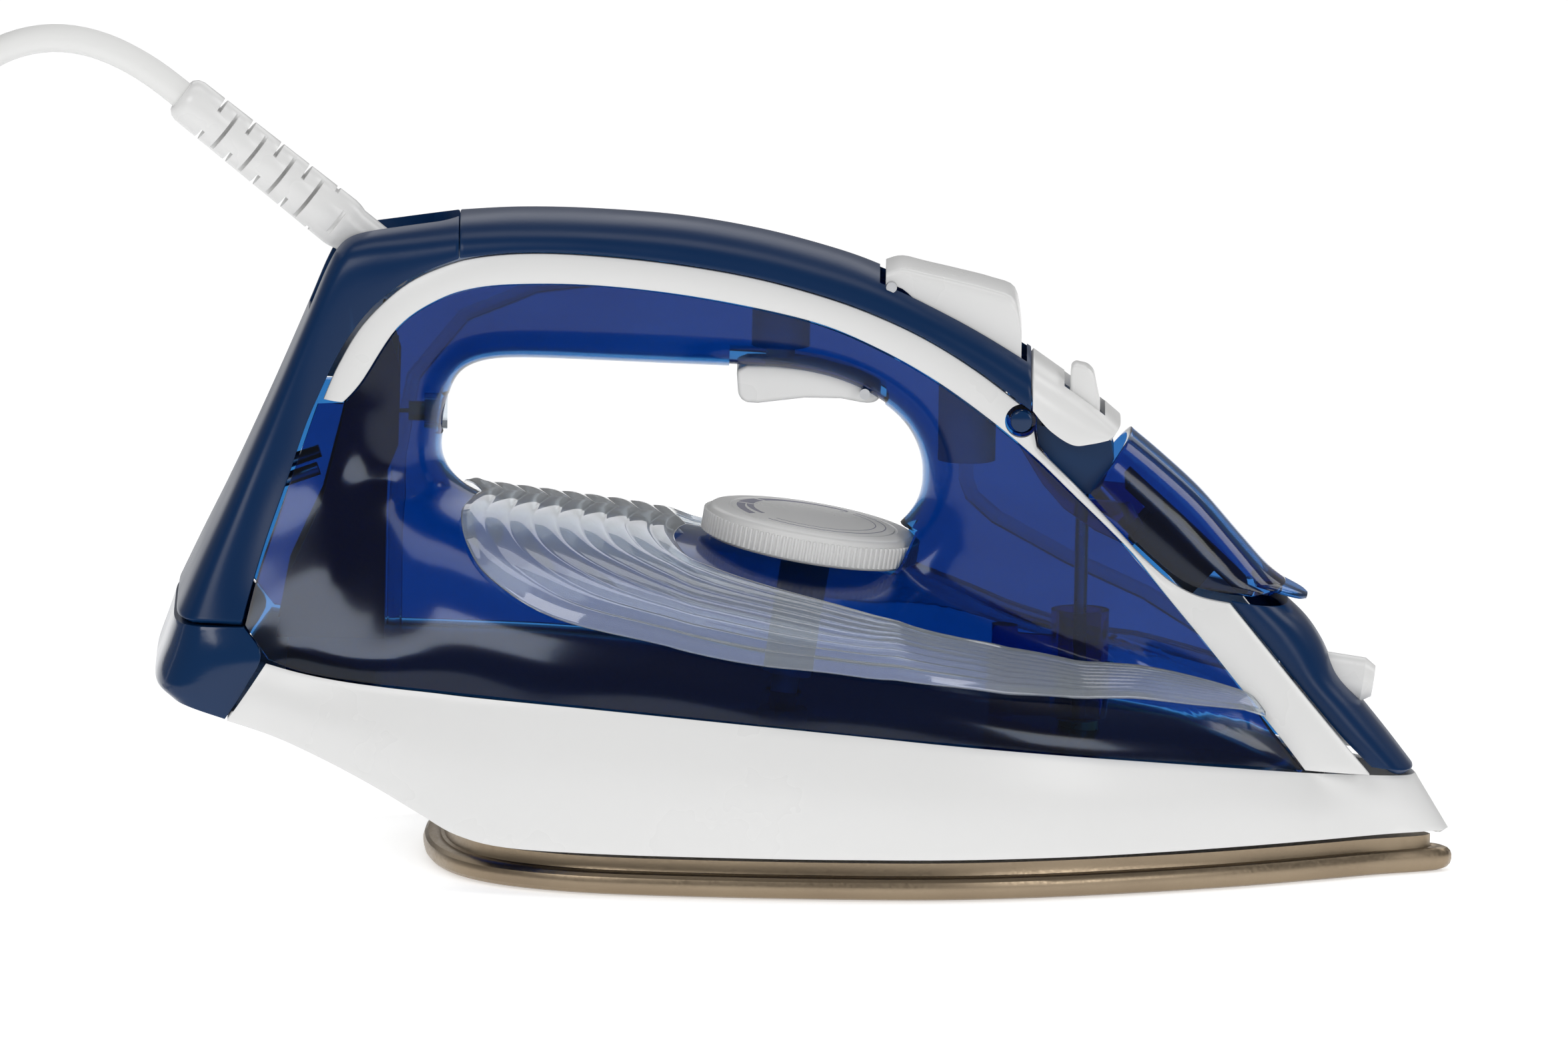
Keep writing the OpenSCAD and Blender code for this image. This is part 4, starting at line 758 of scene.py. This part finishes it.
# Skirt: each row is the upper edge, then the lower edge, as x, z, half width
skirtRows = [[-120.4, 48.6, 38.2, -129, 34.9, 38], [-113, 46.9, 39.8, -118, 31.8, 40.5],
             [-104, 45.7, 42.6, -106, 27, 44], [-93, 44.9, 45.8, -95, 21.8, 47.2], [-83, 44.4, 48.4, -85, 16.4, 49.8],
             [-75, 43.9, 50.2, -77, 12.4, 51.8], [-64, 43.4, 52.6, -66, 10.2, 54], [-44, 42.2, 55, -45, 9.6, 56.6],
             [-15, 40, 56.4, -15, 9.5, 58], [10, 37.8, 55.6, 10, 9.5, 57.6], [33, 35.4, 53, 35, 9.5, 55],
             [56, 32.9, 47.6, 60, 9.5, 48.2], [77, 30.3, 39.2, 82, 9.5, 38.6], [96, 27.7, 30, 102, 9.5, 28],
             [111.6, 25.2, 19.8, 118, 9.5, 18.4], [122, 24.1, 14.6, 130, 9.5, 10.8],
             [130.5, 23.3, 10.4, 138.5, 9.5, 6.6], [135.4, 22.7, 5.4, 143, 9.5, 3.4], [137, 22.4, 0, 144.6, 9.5, 0]]


def skirtRow(r, side, m=12):
    a, b = np.array([r[3], side * r[5], r[4]]), np.array([r[0], side * r[2], r[1] - 0.5])
    t = np.linspace(0, 1, m + 1)
    swell = 1.4 * min(1, max(0, r[5] / 20)) * np.sin(math.pi * t)
    return a + np.outer(t, b - a) + np.outer(swell * side, [0, 1, 0])


def buildSkirt():
    half = smoothRows(skirtRows, 5)
    grid = [skirtRow(r, -1) for r in half] + [skirtRow(r, 1) for r in half[-2::-1]]
    sides = shell("skirt", grid, 2.2, bevel=0.5)
    rear = [r for r in half if r[3] <= -77]
    under = [[[r[3], y * (r[5] - 0.6), r[4] + 0.2] for y in np.linspace(1, -1, 9)] for r in rear]
    inner = [[[r[3] + 1, y * (r[5] - 0.6), r[4] + 2.2] for y in np.linspace(1, -1, 9)] for r in rear]
    return joined("skirt", [sides, shell("skirtUnder", under, 2, inner=np.array(inner))])


settle(buildSkirt(), "housing", white, ("skirt",))

# Side trims

def buildTrims():
    rows = np.concatenate([smoothRows(trim[:14], 6), smoothRows(trim[14:20], 6), smoothRows(trim[19:], 6)[1:]])
    edge = smoothRows(ring[1:20], 8)
    rows[:, 3] = np.interp(rows[:, 2], edge[:, 2], edge[:, 3])
    grid = []
    for r in rows:
        hi, lo = r[:2], r[2:4]
        n = (hi - lo) / np.linalg.norm(hi - lo)
        t = np.linspace(0, 1, 7)
        p = lo + n * 0.45 + np.outer(t, hi - lo - 0.9 * n)
        grid.append(np.stack([p[:, 0], -(r[4] - t * t * 0.9) - 0.25 * np.sin(math.pi * t), p[:, 1]], 1))
    grid = np.array(grid)
    near = shell("trim", grid, 2, bevel=0.3, inner=grid + [0, 2, 0])
    far = shell("trim", grid * [1, -1, 1], 2, bevel=0.3, inner=(grid + [0, 2, 0]) * [1, -1, 1])
    both = joined("sideTrims", [near, far])
    return cut(both, revolve("cutter", [(0, -30), (3.7, -30), (3.7, 30), (0, 30)], 32,
                             Matrix.Translation((0.0471, 0, 0.1026)) @ Matrix.Rotation(math.radians(90), 4, "X")))


settle(buildTrims(), "housing", white, ("side_trims",))
print("stage: trims")

# Clear window with its waves
windowOut = smoothRows([[-73, 0], [-75.5, 11], [-77.6, 22], [-76, 33], [-70, 41.5], [-56, 48.5], [-31, 52],
                        [-5, 53.6], [20, 51.8], [42, 46.6], [60, 39.6], [85, 30], [103, 21.4]], 8)
windowIn = smoothRows([[-27.5, 0], [-29.4, 9], [-29.8, 18], [-26, 27], [-17, 32], [-6, 35.6], [8, 38.4], [22, 39.8],
                       [34, 36], [45, 30], [60, 25], [82, 20.8], [100, 19.2]], 8)
window = {"rise": 1.2, "thick": 1.6, "waves": 9, "waveHeight": 0.55, "steps": 12}


def crownAt(x, y, d):
    w, z0, z1 = lookup(x, skirtLineW), lookup(x, skirtLineZ), lookup(x, crownZ)
    return z0 + (z1 - z0) * (1 - clamp(np.abs(y) / w) ** 2.2) ** 0.4545 + d


def windowRow(a, b, side, top):
    m = window["waves"] * window["steps"]
    t = np.linspace(1, 0, m + 1)
    p = a + np.outer(t, b - a)
    d = window["rise"] + 1.1 * clamp((p[:, 0] - 62) / 12)
    if top:
        phase = (t * window["waves"]) % 1
        wave = np.sin(math.pi * phase) ** 0.7 * (0.6 + 0.4 * phase)
        width = np.linalg.norm(b - a) / window["waves"]
        rim = clamp(np.minimum(t, 1 - t) * m / 5)
        d = d + (window["thick"] - 0.5 + min(window["waveHeight"], 0.22 * width) * wave) * (0.35 + 0.65 * rim)
    return np.stack([p[:, 0], side * p[:, 1], crownAt(p[:, 0], p[:, 1], d)], 1)


def buildWindow():
    pairs = list(zip(windowOut, windowIn))
    order = [(a, b, -1) for a, b in pairs[:0:-1]] + [(a, b, 1) for a, b in pairs]
    top = np.array([windowRow(a, b, s, True) for a, b, s in order])
    low = np.array([windowRow(a, b, s, False) for a, b, s in order])
    return shell("tankWindow", top, 1, bevel=0, inner=low)


settle(buildWindow(), "housing", windowClear, ("tank_window",))
print("stage: window")

# Filler door
hinge = {"at": (47.1, 102.6), "r": 3.4, "armIn": 11.9, "armThick": 1.8, "boss": 2.45}
armOutline = [[45, 99.6], [47, 96], [52, 88], [57, 82.4], [64, 77.6], [72, 74], [76, 77], [72, 84], [64, 84.6],
              [61, 84.6], [58.6, 87.6], [55, 91.6], [51, 97], [50.4, 101.6]]
doorLip = [[100.5, 65.6, 12.4, 2.2], [104, 64.6, 11, 2.6], [107.5, 63.3, 8.8, 2.4], [110.4, 62.2, 6, 2],
           [111.8, 61.7, 3.4, 1.2]]


def hingeDisc(radius, low, high, bevel=0.2):
    (x, z) = hinge["at"]
    place = Matrix.Translation((x * mm, 0, z * mm)) @ Matrix.Rotation(math.radians(90), 4, "X")
    return revolve("disc", [(0, low), (radius, low), (radius, high), (0, high)], 48, place, bevel)


def flatOval(x, z, half, thick, n=28):
    a = np.linspace(0, 2 * math.pi, n + 1)[:-1]
    y = half * np.sign(np.cos(a)) * np.abs(np.cos(a)) ** 0.7
    return np.stack([x + 0.5 * thick * np.sin(a) * 0.35, y, z + thick / 2 * np.sin(a)], 1)


def buildDoor():
    parts = [shell("door", coverGrid(doorTop), 1.8, bevel=0.5)]
    parts.append(loft("lip", [flatOval(*r) for r in smoothRows(doorLip, 4)], bevel=0))
    for s in (-1, 1):
        a, b = sorted((s * hinge["armIn"], s * (hinge["armIn"] + hinge["armThick"])))
        parts.append(extruded("arm", armOutline, a, b, "y", 0.3))
        parts.append(hingeDisc(hinge["r"], a, b))
    return joined("fillerDoor", parts)


settle(buildDoor(), "door", doorBlue, ("filler_door",))
for s in (-1, 1):
    boss = hingeDisc(hinge["boss"], *sorted((s * 13.9, s * 17.9)), bevel=0.6)
    settle(boss, "door", navyGloss)
    boss.name = "hingeBoss" + ("Near" if s > 0 else "Far")

# Spray button
buttonRows = [[16.2, 131.4, 134.4], [20, 131, 135.4], [26, 125.4, 134.2], [33, 119.6, 132.7], [40, 115.4, 131],
              [45.2, 114, 128.8], [46.8, 114, 122]]


def buttonSection(r, half=11, corner=2.2, n=5):
    x, lo, hi = r
    b = min(corner, (hi - lo) / 3)
    a = np.linspace(0, math.pi / 2, n + 1)
    left = [(-half + b - b * math.cos(t), hi - b + b * math.sin(t)) for t in a]
    right = [(half - b + b * math.cos(t), hi - b + b * math.sin(t)) for t in a[::-1]]
    side = [(half, lo + (hi - b - lo) * k) for k in (0.66, 0.33, 0)]
    return [(x, y, z) for y, z in left + right + side + [(-y, z) for y, z in side[::-1]]]


buttonObj = loft("sprayButton", [buttonSection(r) for r in smoothRows(buttonRows, 4)], bevel=0.5, segments=3, angle=35)
settle(buttonObj, "button", white, ("spray_button",))

# Steam trigger
triggerOutline = [[-16.8, 111.2], [-16.3, 105.4], [-14.8, 103.9], [-11.8, 103.8], [-1.4, 105.2], [6.6, 105.2],
                  [11.2, 104.4], [13.6, 104.2], [15.4, 105.2], [15.4, 107.4], [9.6, 110], [0.6, 112.2], [-8.4, 112.7],
                  [-14.4, 112.5]]
triggerObj = extruded("steamTrigger", triggerOutline, -7, 7, "y", 1.2, 4)
settle(triggerObj, "trigger", white, ("steam_trigger",))
print("stage: door, button and trigger")

# Temperature dial

def dialHeight(r):
    return float(np.interp(r, [0, dial["d"] / 2 - 9, dial["d"] / 2 - 2.2],
                 [dial["h"] + 0.8, dial["h"] + 0.5, dial["h"]]))


# Flat band on the dial's top between two angles; each radius may run from one value to another
def ringStrip(name, r0, r1, a0, a1, n=40, lift=0.05, thick=0.12):
    top, low = [], []
    for k in range(n + 1):
        t = k / n
        a = math.radians(a0 + (a1 - a0) * t)
        for r in (r0[0] + (r0[1] - r0[0]) * t, r1[0] + (r1[1] - r1[0]) * t):
            top.append((r * math.cos(a), r * math.sin(a), dialHeight(r) + lift))
            low.append((r * math.cos(a), r * math.sin(a), dialHeight(r) + lift - thick))
    obj = shell(name, np.array(top).reshape(n + 1, 2, 3), 1, bevel=0, inner=np.array(low).reshape(n + 1, 2, 3))
    obj.data.transform(dialPlace)
    return obj


# Geometry nodes: upright ribs spaced evenly round a circle
def ribField(name, source, count, radius, low, high, ribRadius):
    group = bpy.data.node_groups.new(name, "GeometryNodeTree")
    group.interface.new_socket("Geometry", in_out="OUTPUT", socket_type="NodeSocketGeometry")
    for label, kind, value in (("Count", "NodeSocketInt", count), ("Radius", "NodeSocketFloat", radius * mm),
                               ("Low", "NodeSocketFloat", low * mm), ("High", "NodeSocketFloat", high * mm),
                               ("Rib radius", "NodeSocketFloat", ribRadius * mm)):
        socket = group.interface.new_socket(label, in_out="INPUT", socket_type=kind)
        socket.default_value = value
    nodes, links = group.nodes, group.links
    given = nodes.new("NodeGroupInput")
    out = nodes.new("NodeGroupOutput")
    circle = nodes.new("GeometryNodeMeshCircle")
    links.new(given.outputs["Count"], circle.inputs["Vertices"])
    links.new(given.outputs["Radius"], circle.inputs["Radius"])
    middle = nodes.new("ShaderNodeMath")
    middle.operation = "ADD"
    links.new(given.outputs["Low"], middle.inputs[0])
    links.new(given.outputs["High"], middle.inputs[1])
    halved = nodes.new("ShaderNodeMath")
    halved.operation = "MULTIPLY"
    halved.inputs[1].default_value = 0.5
    links.new(middle.outputs[0], halved.inputs[0])
    lift = nodes.new("ShaderNodeCombineXYZ")
    links.new(halved.outputs[0], lift.inputs[2])
    moved = nodes.new("GeometryNodeSetPosition")
    links.new(circle.outputs[0], moved.inputs[0])
    links.new(lift.outputs[0], moved.inputs["Offset"])
    tall = nodes.new("ShaderNodeMath")
    tall.operation = "SUBTRACT"
    links.new(given.outputs["High"], tall.inputs[0])
    links.new(given.outputs["Low"], tall.inputs[1])
    rib = nodes.new("GeometryNodeMeshCylinder")
    rib.inputs["Vertices"].default_value = 10
    links.new(given.outputs["Rib radius"], rib.inputs["Radius"])
    links.new(tall.outputs[0], rib.inputs["Depth"])
    spots = nodes.new("GeometryNodeInstanceOnPoints")
    links.new(moved.outputs[0], spots.inputs["Points"])
    links.new(rib.outputs[0], spots.inputs["Instance"])
    solid = nodes.new("GeometryNodeRealizeInstances")
    links.new(spots.outputs[0], solid.inputs[0])
    paint = nodes.new("GeometryNodeSetMaterial")
    paint.inputs["Material"].default_value = white
    links.new(solid.outputs[0], paint.inputs[0])
    links.new(paint.outputs[0], out.inputs[0])
    mod = source.modifiers.new(name, "NODES")
    mod.node_group = group
    return bake(source)


def buildDial():
    r, h = dial["d"] / 2, dial["h"]
    profile = [(0, 1), (r - 2.4, 1), (r - 2.4, 0.2), (r - 2.2, 0), (r - 1, 0), (r - 0.5, 0.4), (r - 0.35, 1),
               (r - 0.35, h - 2),
               (r - 0.6, h - 1.3), (r - 1.1, h - 0.6), (r - 1.7, h - 0.15), (r - 2.4, h), (r - 5.2, h + 0.25),
               (r - 5.4, h + 0.1),
               (r - 5.8, h + 0.1), (r - 6, h + 0.3), (r - 9, h + 0.5), (r - 12, h + 0.62), (0, h + 0.8)]
    core = revolve("core", profile, 180, None)
    bake(core)
    ribs = ribField("dialRibs", meshObject("ribs", [(0, 0, 0)], []), dial["ribs"], r - 0.35, 0.7, h - 1.3, 0.42)
    obj = joined("temperatureDial", [core, ribs])
    obj.data.transform(dialPlace)
    return obj


settle(buildDial(), "dial", white, ("temperature_dial",))
marks = [ringStrip("m", (13.2, 13.6), (17.4, 17.4), 214, 172), ringStrip("m", (13.9, 14.6), (17.4, 17.2), 168, 142),
         ringStrip("m", (14.8, 15.9), (17.3, 16.9), 137, 62), ringStrip("m", (16.3, 16.3), (16.55, 16.55), 54, -128),
         ringStrip("m", (14.0, 14.0), (14.25, 14.25), 50, -126), ringStrip("m", (10.6, 10.6), (10.8, 10.8), 205, 65),
         ringStrip("m", (10.6, 13.4), (10.8, 13.5), 205, 212, 6), ringStrip("m", (10.6, 14.4), (10.8, 14.6), 165, 162,
         6),
         ringStrip("m", (10.6, 15.9), (10.8, 16.0), 65, 61, 6)]
settle(joined("dialMarks", marks), "dial", ink)

# Steam slider
slider = {"x": 61.2, "y": -6, "z": 104, "half": 4}
finOutline = [(-3.4, -9), (3.4, -9), (3.4, 2), (2, 8.4), (0.6, 9.8), (-2.2, 10.4), (-3.2, 9.6), (-3.4, 2)]


def buildSlider():
    x, y, z, h = slider["x"], slider["y"], slider["z"], slider["half"]
    fin = extruded("fin", [(x + a, z + b) for a, b in finOutline], y - h, y + h, "y", 0.7, 3)
    foot = extruded("foot", [(x - 5.4, y - h - 0.6), (x + 5.4, y - h - 0.6), (x + 5.4, y + h + 0.6),
                    (x - 5.4, y + h + 0.6)],
                    z - 10.5, z - 8.7, "z", 0.3)
    return joined("steamSlider", [fin, foot])


settle(buildSlider(), "slider", white, ("steam_slider",))
print("stage: dial and slider")

# Cord boot with its slits
boot = {"d": 12, "tip": 10.6, "slit": 0.9, "pitch": 8, "sideFrom": 25.5, "edgeFrom": 29.5, "count": 4}
bootPlace = Matrix.Translation(Vector(cord["bootPivot"]) * mm) @ Matrix.Rotation(math.radians(cord["bootAngle"] - 90),
                                                                                 4, "Y")


def buildBoot():
    r, reach = boot["d"] / 2, cord["reach"]
    profile = [(0, 0), (r - 0.6, 0), (r - 0.6, 13.6), (r - 0.2, 15), (r, 16.5), (r - 0.2, 30),
               (boot["tip"] / 2 + 0.1, reach - 2.4),
               (boot["tip"] / 2 - 0.3, reach - 1), (boot["tip"] / 2 - 1.2, reach - 0.1),
               (boot["tip"] / 2 - 1.6, reach), (0, reach)]
    sleeve = revolve("sleeve", profile, 72, None)
    bake(sleeve)
    # Long slits in both sides, shorter notches half a pitch on in both edges, and two shallow ones by the cover
    places = [(0, boot["sideFrom"] + boot["pitch"] * k, 3.4) for k in range(boot["count"])]
    places += [(90, boot["edgeFrom"] + boot["pitch"] * k, 3.3) for k in range(boot["count"])]
    places += [(0, boot["sideFrom"] - boot["pitch"], 0.9), (90, boot["edgeFrom"] - boot["pitch"], 1.0)]
    slits = []
    for turn, z, depth in places:
        for s in (-1, 1):
            slab = boxCutter((-10, r - depth if s > 0 else -r - 6, z - boot["slit"] / 2),
                             (10, r + 6 if s > 0 else -r + depth, z + boot["slit"] / 2))
            slab.data.transform(Matrix.Rotation(math.radians(turn), 4, "Z"))
            slits.append(slab)
    tool = joined("slits", slits)
    cut(sleeve, tool)
    addBevel(sleeve, 0.22, 2, 50)
    bake(sleeve)
    sleeve.data.transform(bootPlace)
    turned = Matrix.Translation(Vector(cord["bootPivot"]) * mm) @ Matrix.Rotation(math.radians(90), 4, "X")
    knuckle = revolve("knuckle", [(0, -6), (6.4, -6), (6.4, 6), (0, 6)], 64, turned, 0.4)
    axle = revolve("axle", [(0, -13.4), (2.5, -13.4), (2.5, 13.4), (0, 13.4)], 40, turned, 0.3)
    return joined("cordBoot", [sleeve, knuckle, axle])


settle(buildBoot(), "boot", white, ("cord_boot",))
print("stage: boot")

# Materials of the frame's own parts
slotMaterial = {"sole_metal": bronze, "cast_metal": castMetal, "steel": steel, "heater_steel": darkSteel,
                "brass": brass,
                "ceramic": ceramic, "seal_rubber": seal, "dark_plastic": navy, "black_plastic": blackPlastic,
                "white_plastic": white, "tank_plastic": tankBlue, "clear_plastic": windowClear,
                "grey_plastic": greyPlastic, "lamp_glass": lampGlass, "wire_insulation": wire,
                "cord_rubber": cordWhite, "plug_plastic": cordWhite}
for part in frame["record"]["subparts"]:
    node = frame["nodes"][part["node"]]
    for s in node.material_slots:
        s.material = slotMaterial[part["material_slot"]]
